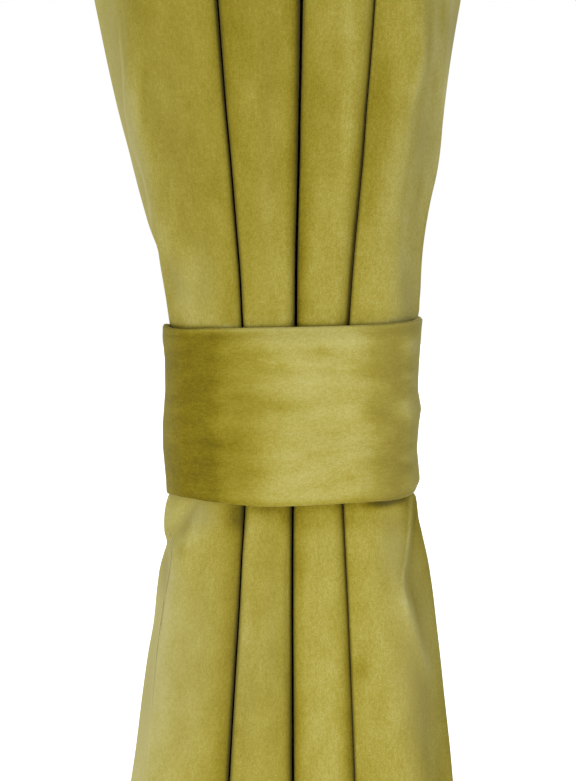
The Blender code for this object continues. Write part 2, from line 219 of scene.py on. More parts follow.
# How far the front of each fold stands forward of where its cloth would put it.
FoldStand = namedtuple("FoldStand", "above_tie fold_1 fold_2 fold_3 fold_4")
FOLD_STANDS = (
    FoldStand(1.300, 0.0000, 0.0060, -0.0040, 0.0030),
    FoldStand(0.236, -0.0020, 0.0010, 0.0000, -0.0030),
    FoldStand(0.000, 0.0000, 0.0000, 0.0000, 0.0000),
    FoldStand(-0.209, -0.0010, 0.0000, 0.0010, -0.0020),
    FoldStand(-0.990, 0.0030, -0.0050, 0.0040, -0.0020),
)


# %% Read a table
def column(table, name, at):
    """The named column of a table as a smooth curve through its rows, read at the given places."""
    places = np.array([row[0] for row in table])
    values = np.array([getattr(row, name) for row in table])
    order = np.argsort(places)
    places, values = places[order], values[order]
    slopes = np.gradient(values, places)
    at = np.clip(at, places[0], places[-1])
    left = np.clip(np.searchsorted(places, at, side="right") - 1, 0, len(places) - 2)
    span = places[left + 1] - places[left]
    t = (at - places[left]) / span
    return (
        (2 * t**3 - 3 * t**2 + 1) * values[left]
        + (t**3 - 2 * t**2 + t) * span * slopes[left]
        + (3 * t**2 - 2 * t**3) * values[left + 1]
        + (t**3 - t**2) * span * slopes[left + 1]
    )


def straight(table, name, at):
    """The named column of a table, read along straight lines between its rows."""
    return np.interp(at, [row[0] for row in table], [getattr(row, name) for row in table])


spread = column(OUTLINE, "right", 0.2) - column(OUTLINE, "left", 0.2)
print("width 0.2 m above the band:", round(float(spread), 3), "m")


# %% [markdown]
# One fold in plan
#
# Seen from above, half a fold is a straight face, a turn, a straight side, a turn back and half of a straight
# rear. Walking along it with a known heading gives every point, and the heading is a simple ramp in each
# turn. The only unknown is how far the side turns, and that is found by halving, so that the fold is as wide
# as the table says while its cloth keeps its length. The two outermost halves end in a side edge instead. Far
# from the band such a half rolls round into one side, and near it a flat facet slants back to the outline.
# Where a sharp ridge runs down that facet, a few columns of the mesh stand close together along it.

# %% Where the sharpest ridges run down the outer folds
# Each point is a place across the curtain and a height above the band's middle.
LEFT_TOP_RIDGE = (
    (-0.0946, 0.216), (-0.0924, 0.197), (-0.0908, 0.175), (-0.0897, 0.162), (-0.0880, 0.152),
    (-0.0833, 0.141), (-0.0803, 0.132), (-0.0783, 0.122), (-0.0764, 0.108),
)
LEFT_LOW_RIDGE = (
    (-0.0678, -0.070), (-0.0667, -0.077), (-0.0669, -0.085), (-0.0683, -0.093), (-0.0696, -0.104),
)
RIGHT_TOP_RIDGE = ((0.0903, 0.240), (0.0886, 0.213), (0.0861, 0.190), (0.0840, 0.172))
RIGHT_LOW_RIDGE = (
    (0.0647, -0.042), (0.0639, -0.060), (0.0622, -0.077), (0.0606, -0.086), (0.0607, -0.093),
    (0.0628, -0.101),
)
RIGHT_LOW_BAND = ((0.0622, -0.098), (0.0658, -0.110), (0.0700, -0.124), (0.0740, -0.140))
LEFT_LOW_BAND = ((-0.0735, -0.118), (-0.0770, -0.150), (-0.0805, -0.192))
LEFT_RIDGES = LEFT_TOP_RIDGE + LEFT_LOW_RIDGE + LEFT_LOW_BAND
RIGHT_RIDGES = RIGHT_TOP_RIDGE + RIGHT_LOW_RIDGE + RIGHT_LOW_BAND[1:]
RIDGE_REACH = 0.0030

# The fine columns along a ridge begin between the first two of these shares of the facet, take up at least
# the third, and end by the fourth.
FINE_START_LEAST = 0.05
FINE_START_MOST = 0.80
FINE_LEAST = 0.10
FINE_END_MOST = 0.95


def line_x(points, above_tie):
    """How far across the curtain a listed line lies at each height."""
    points = sorted(points, key=lambda point: point[1])
    return np.interp(above_tie, [point[1] for point in points], [point[0] for point in points])


# %% Walk along the cloth
# How many columns each stretch of a half fold gets: an inner half, then a rolled and a slanted outermost one.
INNER_STEPS = (4, 8, 4, 7, 2)
ROLLED_STEPS = (4, 10, 16, 1, 6)
SLANTED_STEPS = (3, 8, 4, 6, 4, 3, 3, 1, 5)
EDGE_ANGLES = np.radians([35.0, 65.0, 85.0])
HEM_ROUND = (CLOTH + HEM_EXTRA) / 2
LEAST_TURN = 20
MOST_TURN = 150
HALVINGS = 40


def stations(breaks, counts):
    """Each stretch between two breaks cut into equal steps, as one row of places for each height."""
    pieces = [
        start[:, None] + (end - start)[:, None] * np.arange(count) / count
        for start, end, count in zip(breaks[:-1], breaks[1:], counts)
    ]
    return np.concatenate(pieces + [breaks[-1][:, None]], axis=1)


def walk(along, heading):
    """The points reached by going along the cloth with these headings: (sideways, back) from the start."""
    step = np.diff(along, axis=1)
    turn = np.diff(heading, axis=1)
    middle = heading[:, :-1] + turn / 2
    chord = step * np.sinc(turn / (2 * math.pi))
    start = np.zeros((len(along), 1))
    sideways = np.concatenate([start, np.cumsum(chord * np.cos(middle), axis=1)], axis=1)
    back = np.concatenate([start, np.cumsum(chord * np.sin(middle), axis=1)], axis=1)
    return sideways, back


def ramp(along, start, length):
    """0 before the start, 1 past the end, and an even rise between."""
    return np.clip((along - start[:, None]) / np.maximum(length, 1e-9)[:, None], 0.0, 1.0)


def smooth(value, low, high):
    """0 below low, 1 above high, and a soft rise between."""
    t = np.clip((value - low) / (high - low), 0.0, 1.0)
    return t * t * (3 - 2 * t)


def fading(value, low, high, soft):
    """1 between low and high, 0 beyond them, and a change this soft to each side of both."""
    return smooth(value, low - soft, low + soft) * (1 - smooth(value, high - soft, high + soft))


def solve(measure, target):
    """The angle at which a measure that falls as the angle grows meets its target, at each height."""
    low = np.full(len(target), math.radians(LEAST_TURN))
    high = np.full(len(target), math.radians(MOST_TURN))
    for _ in range(HALVINGS):
        middle = (low + high) / 2
        above = measure(middle) > target
        low, high = np.where(above, middle, low), np.where(above, high, middle)
    return (low + high) / 2


# %% Shape an inner half fold and an outermost one
def inner_half(width, front_gap, front_round, back_gap, back_round):
    """Half a fold, from the middle of its front to the middle of the turn behind it."""
    face = np.maximum(width - front_gap / 2 - front_round, LEAST_FLAT)
    rear = np.maximum(width - back_gap / 2 - back_round, LEAST_FLAT)
    cloth = np.full(len(width), HALF_FOLD_CLOTH)

    def path(angle):
        turns = (front_round * angle, back_round * angle)
        breaks = [0 * cloth, face, face + turns[0], cloth - rear - turns[1], cloth - rear, cloth]
        along = stations(breaks, INNER_STEPS)
        forward = ramp(along, breaks[1], turns[0])
        backward = ramp(along, breaks[3], turns[1])
        return along, *walk(along, angle[:, None] * (forward - backward))

    angle = solve(lambda turned: path(turned)[1][:, -1], width)
    return path(angle)


def past_edge(along, cloth):
    """The places along the cloth with the few past its side edge, where the turned edge rounds off."""
    return np.concatenate([along, cloth[:, None] + HEM_ROUND * np.sin(EDGE_ANGLES)], axis=1)


def rolled_half(width, face_width, side_round, end_turn):
    """The outermost half fold where the curtain hangs wide: a face and one slanting side."""
    width = np.maximum(width, face_width + LEAST_FLAT)
    side_round = np.minimum(side_round, face_width - LEAST_FLAT)
    face = face_width - side_round
    cloth = np.full(len(width), HALF_FOLD_CLOTH)

    def path(angle):
        turn = side_round * angle
        last = END_ROUND * np.abs(end_turn - angle)
        hem = cloth - SIDE_HEM
        breaks = [0 * cloth, face, face + turn, hem - HEM_STEP, hem, cloth]
        along = past_edge(stations(breaks, ROLLED_STEPS), cloth)
        heading = angle[:, None] * ramp(along, breaks[1], turn)
        heading = heading + (end_turn - angle)[:, None] * ramp(along, cloth - last, last)
        return along, *walk(along, heading)

    angle = solve(lambda turned: path(turned)[1].max(axis=1), width)
    return path(angle)


def slanted_half(width, face_width, side_round, facet, end_turn, ridge):
    """The outermost half fold near the band: a face, a facet slanting back, and a side behind it."""
    cloth = np.full(len(width), HALF_FOLD_CLOTH)
    outline = OUTLINE_ROUND * (1 - np.sin(facet))
    facet_wide = np.maximum(width - face_width - outline, LEAST_FLAT)
    side_round = np.minimum(side_round, (width - facet_wide - outline - LEAST_FLAT) / np.sin(facet))
    flat = width - facet_wide - outline - side_round * np.sin(facet)
    turns = (side_round * facet, OUTLINE_ROUND * (BEHIND - facet))
    last = END_ROUND * np.maximum(end_turn - BEHIND, 0.0)
    hem = cloth - SIDE_HEM
    slant = facet_wide / np.cos(facet)
    to_ridge = (ridge - face_width) / np.cos(facet)
    before = np.clip(to_ridge - RIDGE_REACH, FINE_START_LEAST * slant, FINE_START_MOST * slant)
    after = np.clip(before + 2 * RIDGE_REACH, before + FINE_LEAST * slant, FINE_END_MOST * slant)
    turned = flat + turns[0]
    breaks = [0 * cloth, flat, turned, turned + before, turned + after, turned + slant]
    breaks.append(breaks[-1] + turns[1])
    breaks.extend([hem - HEM_STEP, hem, cloth])
    along = past_edge(stations(breaks, SLANTED_STEPS), cloth)
    heading = facet[:, None] * ramp(along, breaks[1], turns[0])
    heading = heading + (BEHIND - facet)[:, None] * ramp(along, breaks[5], turns[1])
    heading = heading + np.maximum(end_turn - BEHIND, 0.0)[:, None] * ramp(along, cloth - last, last)
    return along, *walk(along, heading)


def near_band(above_tie):
    """1 within reach of the band, 0 far from it, and a soft change between."""
    return 1 - smooth(np.abs(above_tie), BAND_SWAY, 2 * BAND_SWAY)


def outer_half(near, width, face_width, side_round, facet, end_turn, ridge):
    """The outermost half fold, slanted within reach of the band and rolled far from it."""
    slanted = slanted_half(width, face_width, side_round, facet, end_turn, ridge)
    rolled = rolled_half(width, face_width, side_round, end_turn)
    return tuple(near[:, None] * a + (1 - near)[:, None] * b for a, b in zip(slanted, rolled))


# %% Join the half folds into whole rows
def placed(half, front_x, stand, side, depth, ends_behind=True):
    """A half fold in its place, with its front forward by the fold's own stand and its back as it was."""
    along, sideways, back = half
    if ends_behind:
        back = back * (depth / back[:, -1])[:, None]
    forward = (1 + np.cos(math.pi * back / back.max(axis=1)[:, None])) / 2
    y = back - (depth / 2)[:, None] - stand[:, None] * forward
    return along, front_x[:, None] + side * sideways, y


def reversed_run(run):
    """The same half fold walked the other way."""
    return tuple(part[:, ::-1] for part in run)


def joined(runs):
    """The half folds as whole rows, where each point at which two of them meet is kept once."""
    along, x, y = [], [], []
    for n, (place, run_x, run_y) in enumerate(runs):
        # Runs of even number come toward the front, so their cloth is counted from the other end.
        from_start = place if n % 2 == 1 else HALF_FOLD_CLOTH - place
        skip = 0 if n == 0 else 1
        along.append((n * HALF_FOLD_CLOTH + from_start)[:, skip:])
        x.append(run_x[:, skip:])
        y.append(run_y[:, skip:])
    return tuple(np.concatenate(part, axis=1) for part in (along, x, y))


def panel_sections(above_tie):
    """The middle of the cloth at each height, as (along, x, y) from the left side edge to the right."""
    edge_left = column(OUTLINE, "left", above_tie)
    edge_right = column(OUTLINE, "right", above_tie)
    face_left = column(SECTIONS, "left_face", above_tie)
    face_right = column(SECTIONS, "right_face", above_tie)
    creases = [column(SECTIONS, f"crease_{n}", above_tie) for n in range(1, FOLDS)]
    stands = [column(FOLD_STANDS, f"fold_{n}", above_tie) for n in range(1, FOLDS + 1)]
    turning = {name: column(TURNINGS, name, above_tie) for name in Turning._fields[1:]}

    # A crease lies midway between the fronts beside it, and the second front midway between its creases.
    second = (creases[0] + creases[1]) / 2
    third = 2 * creases[1] - second
    fronts = [2 * creases[0] - second, second, third, 2 * creases[2] - third]

    def half_beside(crease, front, slit_width, turn):
        """The half fold from a front to the middle of the turn behind the slit at a crease."""
        return inner_half(
            np.abs(crease - front),
            CLOTH + (turning["front_gap"] - CLOTH) * slit_width,
            turning["front_round"] * turn,
            turning["back_gap"],
            turning["back_round"],
        )

    pairs = []
    near = near_band(above_tie)
    for n, (crease, slit) in enumerate(zip(creases, SLITS)):
        slit_width, left_turn, right_turn = (
            1 + (column(slit, name, above_tie) - 1) * near for name in Slit._fields[1:]
        )
        on_left = half_beside(crease, fronts[n], slit_width, left_turn)
        on_right = half_beside(crease, fronts[n + 1], slit_width, right_turn)
        pairs.append((on_left, on_right))
    depth = np.mean([half[2][:, -1] for pair in pairs for half in pair], axis=0)
    half_cloth = CLOTH / 2
    end_turn = np.radians(turning["end_turn"])
    left = outer_half(
        near,
        fronts[0] - edge_left - half_cloth,
        fronts[0] - face_left - half_cloth,
        turning["left_round"],
        np.radians(turning["left_facet"]),
        end_turn,
        fronts[0] - line_x(LEFT_RIDGES, above_tie),
    )
    right = outer_half(
        near,
        edge_right - fronts[3] - half_cloth,
        face_right - fronts[3] - half_cloth,
        turning["right_round"],
        np.radians(turning["right_facet"]),
        end_turn,
        line_x(RIGHT_RIDGES, above_tie) - fronts[3],
    )

    runs = [reversed_run(placed(left, fronts[0], stands[0], -1, depth, ends_behind=False))]
    for n, (toward, away) in enumerate(pairs):
        runs.append(placed(toward, fronts[n], stands[n], 1, depth))
        runs.append(reversed_run(placed(away, fronts[n + 1], stands[n + 1], -1, depth)))
    runs.append(placed(right, fronts[3], stands[3], 1, depth, ends_behind=False))
    return joined(runs)


# %% [markdown]
# The panel's own grid
#
# A mesh follows a fold best when its columns run down the cloth and its rows run across it. The rows stand
# close together near the band, where the folds change most and the eye is nearest, and farther apart
# elsewhere. A few more rows make the small steps where a hem is sewn down, and three rows past each end round
# off the turned edge.

# %% Heights of the rows
Rows = namedtuple("Rows", "upper lower steps")
TOP = TIE_DROP
FOOT = TIE_DROP - PANEL_DROP
TOP_HEM_LINE = TOP - TOP_HEM
FOOT_HEM_LINE = FOOT + BOTTOM_HEM
SEAM_STRIP = 0.005
ROWS = (
    Rows(TOP, TOP_HEM_LINE + SEAM_STRIP, 3),
    Rows(TOP_HEM_LINE + SEAM_STRIP, TOP_HEM_LINE, 3),
    Rows(TOP_HEM_LINE, TOP_HEM_LINE - HEM_STEP, 1),
    Rows(TOP_HEM_LINE - HEM_STEP, 0.440, 22),
    Rows(0.440, 0.245, 10),
    Rows(0.245, 0.075, 40),
    Rows(0.075, 0.058, 7),
    Rows(0.058, 0.045, 20),
    Rows(0.045, -0.039, 5),
    Rows(-0.039, -0.052, 20),
    Rows(-0.052, -0.080, 14),
    Rows(-0.080, -0.215, 28),
    Rows(-0.215, -0.400, 9),
    Rows(-0.400, FOOT_HEM_LINE + HEM_STEP, 12),
    Rows(FOOT_HEM_LINE + HEM_STEP, FOOT_HEM_LINE, 1),
    Rows(FOOT_HEM_LINE, FOOT_HEM_LINE - SEAM_STRIP, 3),
    Rows(FOOT_HEM_LINE - SEAM_STRIP, FOOT, 4),
)


def row_heights():
    """The heights of the rows above the band's middle, from the top edge down, with the rounded ends."""
    heights = [np.linspace(rows.upper, rows.lower, rows.steps, endpoint=False) for rows in ROWS]
    past_top = TOP + HEM_ROUND * np.sin(EDGE_ANGLES[::-1])
    past_foot = FOOT - HEM_ROUND * np.sin(EDGE_ANGLES)
    return np.concatenate([past_top, *heights, [FOOT], past_foot])


heights = row_heights()
along, across, depth = panel_sections(heights)
middle = np.stack([across, depth, np.repeat(heights[:, None] - TIE_DROP, along.shape[1], axis=1)], axis=2)
print("panel grid:", middle.shape[0], "rows by", middle.shape[1], "columns")


# %% [markdown]
# Creases placed one by one
#
# A hung velvet is never smooth between its folds. Beside the band the pinched cloth throws short diagonal
# ridges, and soft troughs run up the outer folds. Each is a line on the front of the curtain, given by a few
# points, with a height and a width, and the cloth is raised or pressed in along it. Each line also carries a
# painted highlight where it is a ridge and painted shade where it is a trough, kept for the painting. A slow,
# seeded noise adds the rest of the unevenness, and fades where the folds press on each other.

# %% Lines of the creases
# A crease's last number is painted along its line: painted highlight where it is a ridge, painted shade where
# it is a trough.
Crease = namedtuple("Crease", "points raised width lay")
CREASES = (
    Crease(
        ((-0.0890, 0.236), (-0.0897, 0.172), (-0.0815, 0.145), (-0.0749, 0.117), (-0.0735, 0.100)),
        0.0006, 0.0040, 0.05,
    ),
    Crease(LEFT_TOP_RIDGE, 0.0004, 0.0014, 0.50),
    Crease(((-0.0790, 0.225), (-0.0785, 0.190), (-0.0760, 0.155)), -0.0005, 0.0090, -0.05),
    Crease(((-0.0560, 0.095), (-0.0540, 0.070), (-0.0525, 0.052)), 0.0010, 0.0090, 0.10),
    Crease(((0.0722, 0.236), (0.0716, 0.195), (0.0672, 0.178), (0.0640, 0.145)), 0.0010, 0.0030, 0.25),
    Crease(((0.0790, 0.236), (0.0765, 0.195), (0.0735, 0.150), (0.0690, 0.110)), -0.0008, 0.0055, 0.00),
    Crease(RIGHT_TOP_RIDGE, 0.0002, 0.0030, 0.80),
    Crease(
        ((-0.0497, -0.046), (-0.0521, -0.058), (-0.0557, -0.066), (-0.0584, -0.074)),
        0.0024, 0.0026, 0.40,
    ),
    Crease(((-0.0530, -0.045), (-0.0590, -0.055), (-0.0660, -0.066)), -0.0034, 0.0050, -0.35),
    Crease(LEFT_LOW_RIDGE, 0.0003, 0.0018, 0.55),
    Crease(LEFT_LOW_BAND, 0.0003, 0.0040, 0.25),
    Crease(RIGHT_LOW_RIDGE, 0.0006, 0.0013, 0.75),
    Crease(RIGHT_LOW_BAND, 0.0006, 0.0046, 0.85),
    Crease(
        ((0.0678, -0.044), (0.0674, -0.060), (0.0660, -0.078), (0.0650, -0.090), (0.0680, -0.104)),
        -0.0010, 0.0032, -0.22,
    ),
    Crease(((0.0545, -0.078), (0.0540, -0.100), (0.0580, -0.130)), -0.0010, 0.0060, 0.00),
)
CREASE_FADE = 0.012
Unevenness = namedtuple("Unevenness", "across down raised seed")
UNEVEN = (
    Unevenness(0.040, 0.130, 0.0016, 3.7),
    Unevenness(0.016, 0.050, 0.0005, 8.1),
)

# The noise holds where the cloth faces front or back, or the slits are open, and not at the band itself.
FACING = (0.35, 0.80)
SLIT_OPEN = (0.004, 0.020)
STILL_HEIGHT = 0.058
STILL_FADE = 0.030


def front_place(row, x):
    """How far along the cloth the frontmost layer lies at this x in this row."""
    crossed = (across[row, :-1] - x) * (across[row, 1:] - x) <= 0
    if not crossed.any():
        return along[row, np.argmin(np.abs(across[row] - x) + (depth[row] > 0))]
    candidates = np.flatnonzero(crossed)
    first = candidates[np.argmin(depth[row, candidates])]
    share = (x - across[row, first]) / (across[row, first + 1] - across[row, first] + 1e-12)
    return along[row, first] + share * (along[row, first + 1] - along[row, first])


def crease_marks():
    """How far the listed creases raise each point of the grid, and the painted highlight and painted shade
    they lay along it.
    """
    relief = np.zeros(along.shape)
    ridge_painted_shading = np.zeros(along.shape)
    for crease in CREASES:
        ups = [point[1] for point in crease.points]
        for row, height in enumerate(heights):
            fade = fading(height, min(ups), max(ups), CREASE_FADE)
            if fade < 1e-3:
                continue
            away = (along[row] - front_place(row, line_x(crease.points, height))) / crease.width
            strength = fade * np.exp(-(away**2))
            relief[row] += crease.raised * strength
            ridge_painted_shading[row] += crease.lay * strength
    return relief, ridge_painted_shading


# %% Raise the grid along its creases
def normals(points):
    """The direction out of the pile side at each point of a grid of rows from the top down."""
    out = np.cross(np.gradient(points, axis=0), np.gradient(points, axis=1))
    return out / np.linalg.norm(out, axis=2)[:, :, None]


def uneven_relief():
    """The slow unevenness of hanging cloth, from seeded noise in the cloth's own width and drop."""
    relief = np.zeros(along.shape)
    for wave in UNEVEN:
        for row, height in enumerate(heights):
            for n, place in enumerate(along[row]):
                at = Vector((place / wave.across, height / wave.down, wave.seed))
                relief[row, n] += wave.raised * noise.noise(at)
    return relief


out = normals(middle)
gap = column(TURNINGS, "front_gap", heights)[:, None]
free = np.maximum(smooth(np.abs(out[:, :, 1]), *FACING), smooth(gap, *SLIT_OPEN))
away_from_band = smooth(np.abs(heights), STILL_HEIGHT, STILL_HEIGHT + STILL_FADE)[:, None]
relief, crease_painted_shading = crease_marks()
relief += uneven_relief() * free * away_from_band
middle = middle + out * relief[:, :, None]
out = normals(middle)
print("relief from", round(relief.min() * 1000, 2), "to", round(relief.max() * 1000, 2), "mm")


# %% [markdown]
# From a grid to a sheet
#
# The pile side and the reverse are two copies of the grid, half the cloth's thickness to each side. A hem
# adds its turned-in layers on the reverse only, as it is sewn, so the pile side stays flat across it. At the
# outer edges the thickness closes along a half round, which is what a turned edge looks like. Two maps go on
# the mesh: one in real metres of cloth for the pile's pattern, and one that lays both sides out once, side by
# side.

# %% Build the sheet
def share_of_thickness(count):
    """1 inside the grid, and falling to nearly nothing along the rounded edge at both ends."""
    share = np.ones(count)
    share[-len(EDGE_ANGLES):] = np.cos(EDGE_ANGLES)
    share[: len(EDGE_ANGLES)] = np.cos(EDGE_ANGLES[::-1])
    return share


def grid_faces(rows, columns, first, turned):
    """The faces of a grid of points, numbered from first, facing out of the pile side or turned over."""
    corner = first + np.arange(rows - 1)[:, None] * columns + np.arange(columns - 1)
    faces = np.stack([corner, corner + columns, corner + columns + 1, corner + 1], axis=2).reshape(-1, 4)
    return faces[:, ::-1] if turned else faces


def rim_faces(rows, columns):
    """The faces that close the sheet between the rims of its two sides."""
    numbers = np.arange(rows * columns).reshape(rows, columns)
    rim = np.concatenate([numbers[0, :-1], numbers[:-1, -1], numbers[-1, :0:-1], numbers[:0:-1, 0]])
    following = np.roll(rim, -1)
    back = rows * columns
    return np.stack([rim, following, following + back, rim + back], axis=1)


def new_mesh_object(name, points, faces=(), edges=()):
    """A smooth mesh object at the origin."""
    mesh = bpy.data.meshes.new(name)
    faces = [tuple(map(int, face)) for face in faces]
    mesh.from_pydata([tuple(point) for point in points], list(edges), faces)
    mesh.update()
    mesh.shade_smooth()
    made = bpy.data.objects.new(name, mesh)
    bpy.context.scene.collection.objects.link(made)
    return made


def store(mesh, name, values):
    """Gives each point of the mesh its own number, or its own direction, under this name."""
    values = np.asarray(values, np.float32)
    kind, field = ("FLOAT", "value") if values.ndim == 1 else ("FLOAT_VECTOR", "vector")
    mesh.attributes.new(name, kind, "POINT").data.foreach_set(field, values.ravel())


def set_map(mesh, name, places):
    """A UV map from one place for each corner of the mesh."""
    layer = mesh.uv_layers.new(name=name)
    layer.data.foreach_set("uv", np.asarray(places, np.float32).ravel())


def corner_vertices(mesh):
    """The vertex number at each corner of the mesh."""
    numbers = np.empty(len(mesh.loops), np.int32)
    mesh.loops.foreach_get("vertex_index", numbers)
    return numbers


rows, columns = along.shape
drop = TIE_DROP - heights[:, None] + 0 * along
in_hem = (drop < TOP_HEM + 1e-6) | (drop > PANEL_DROP - BOTTOM_HEM - 1e-6)
in_hem |= np.minimum(along, PANEL_FLAT_WIDTH - along) < SIDE_HEM + 1e-6
closing = (share_of_thickness(rows)[:, None] * share_of_thickness(columns))[:, :, None]
pile_side = middle + out * closing * CLOTH / 2
reverse_side = middle - out * closing * (CLOTH / 2 + HEM_EXTRA * in_hem[:, :, None])
points = np.concatenate([pile_side.reshape(-1, 3), reverse_side.reshape(-1, 3)])
faces = np.concatenate(
    [
        grid_faces(rows, columns, 0, False),
        grid_faces(rows, columns, rows * columns, True),
        rim_faces(rows, columns),
    ]
)
curtain = new_mesh_object("velvet_curtain_panel", points, faces)
print("sheet:", len(points), "points,", 2 * len(faces), "triangles")

# %% Lay out its two maps
SIDE_BY_SIDE = 0.49
corners = corner_vertices(curtain.data)
on_reverse = np.repeat(np.arange(len(faces)) >= (rows - 1) * (columns - 1), 4)
on_reverse &= corners >= rows * columns
cloth_place = np.stack([along.ravel(), PANEL_DROP - drop.ravel()], axis=1)[corners % (rows * columns)]
set_map(curtain.data, "cloth", cloth_place)
laid_out = cloth_place / (PANEL_FLAT_WIDTH, PANEL_DROP)
laid_out = np.clip(laid_out, 0.0, 1.0) * (SIDE_BY_SIDE, 1.0)
laid_out[:, 0] = np.where(on_reverse, 1.0 - laid_out[:, 0], laid_out[:, 0])
set_map(curtain.data, "OFBake", laid_out)
curtain.data.uv_layers["cloth"].active_render = True
print("maps:", [layer.name for layer in curtain.data.uv_layers])


# %% [markdown]
# The way the pile lies, and painted shading
#
# Velvet is one colour, yet it looks ochre where its pile leans toward the eye and pale where it leans away.
# Brushing, hanging and handling leave such patches all over it. A number at each point of the mesh says how
# the pile lies there, and painted shade and painted highlight go into the same number: below 0 it goes to
# deep ochre, and above 0 to pale. It starts from a table of how each fold's face is brushed, with painted
# highlight and painted shade at its edges. Painted shade darkens the cloth tucked into a slit, and a painted
# shadow lies along the band's edges. Patches come last, some of them painted shade under the band. A second
# number is a painted sheen, a greyish cast where the cloth turns aside.

# %% How the pile lies across each fold, with painted highlight and painted shade at its edges
FoldLayAndShading = namedtuple("FoldLayAndShading", "above_tie fold left left_width middle right right_width")
# The middle column is the pile's own tone. The edge columns are mostly painted: painted highlight where an
# outer fold turns aside, painted shade where a fold turns into a slit.
FOLD_LAYS_AND_SHADING = (
    FoldLayAndShading(0.23, 1, 1.05, 0.015, -0.08, -0.15, 0.008),
    FoldLayAndShading(0.23, 2, -0.30, 0.010, -0.10, -0.80, 0.006),
    FoldLayAndShading(0.23, 3, -0.10, 0.009, 0.10, 0.20, 0.006),
    FoldLayAndShading(0.23, 4, 0.00, 0.009, 0.12, 0.85, 0.005),
    FoldLayAndShading(0.13, 1, 1.15, 0.011, 0.07, 0.00, 0.006),
    FoldLayAndShading(0.13, 2, -0.35, 0.008, 0.00, -0.40, 0.005),
    FoldLayAndShading(0.13, 3, -0.75, 0.008, 0.13, 0.05, 0.006),
    FoldLayAndShading(0.13, 4, -0.20, 0.010, 0.45, 0.70, 0.014),
    FoldLayAndShading(0.08, 1, 0.50, 0.006, 0.25, 0.05, 0.006),
    FoldLayAndShading(0.08, 2, 0.05, 0.007, 0.22, 0.20, 0.006),
    FoldLayAndShading(0.08, 3, -1.05, 0.005, 0.28, 0.35, 0.006),
    FoldLayAndShading(0.08, 4, 0.10, 0.010, 0.38, 0.60, 0.012),
    FoldLayAndShading(-0.06, 1, 1.00, 0.009, 0.30, -0.40, 0.009),
    FoldLayAndShading(-0.06, 2, 0.50, 0.006, 0.08, 0.20, 0.007),
    FoldLayAndShading(-0.06, 3, -0.45, 0.006, 0.40, 0.05, 0.005),
    FoldLayAndShading(-0.06, 4, 0.10, 0.006, 0.26, -0.45, 0.010),
    FoldLayAndShading(-0.11, 1, 1.40, 0.014, 0.27, -0.65, 0.008),
    FoldLayAndShading(-0.11, 2, 0.30, 0.007, 0.15, -0.10, 0.006),
    FoldLayAndShading(-0.11, 3, -0.40, 0.005, 0.50, -0.15, 0.006),
    FoldLayAndShading(-0.11, 4, 0.10, 0.007, 0.40, 0.10, 0.010),
    FoldLayAndShading(-0.18, 1, 1.50, 0.011, 0.48, -0.50, 0.010),
    FoldLayAndShading(-0.18, 2, 0.10, 0.006, 0.00, -0.35, 0.006),
    FoldLayAndShading(-0.18, 3, -0.75, 0.005, 0.35, -0.75, 0.007),
    FoldLayAndShading(-0.18, 4, 0.10, 0.006, 0.32, -0.05, 0.008),
)


def fold_lay_and_shading(height, x):
    """The pile's lie with painted highlight and painted shade at each fold's edges, at places x across the
    curtain at one height, from the table of the folds' faces.
    """
    creases = [float(column(SECTIONS, f"crease_{n}", height)) for n in range(1, FOLDS)]
    bounds = [float(column(OUTLINE, "left", height)), *creases, float(column(OUTLINE, "right", height))]
    fold = np.clip(np.searchsorted(bounds, x), 1, FOLDS)
    lay = np.zeros(len(x))
    for number in range(1, FOLDS + 1):
        table = [row for row in FOLD_LAYS_AND_SHADING if row.fold == number]
        left, left_width, centre, right, right_width = (
            float(column(table, name, height))
            for name in ("left", "left_width", "middle", "right", "right_width")
        )
        from_left = (x - bounds[number - 1]) / left_width
        from_right = (bounds[number] - x) / right_width
        here = centre + (left - centre) * np.exp(-(from_left**2))
        here += (right - centre) * np.exp(-(from_right**2))
        lay = np.where(fold == number, here, lay)
    return lay


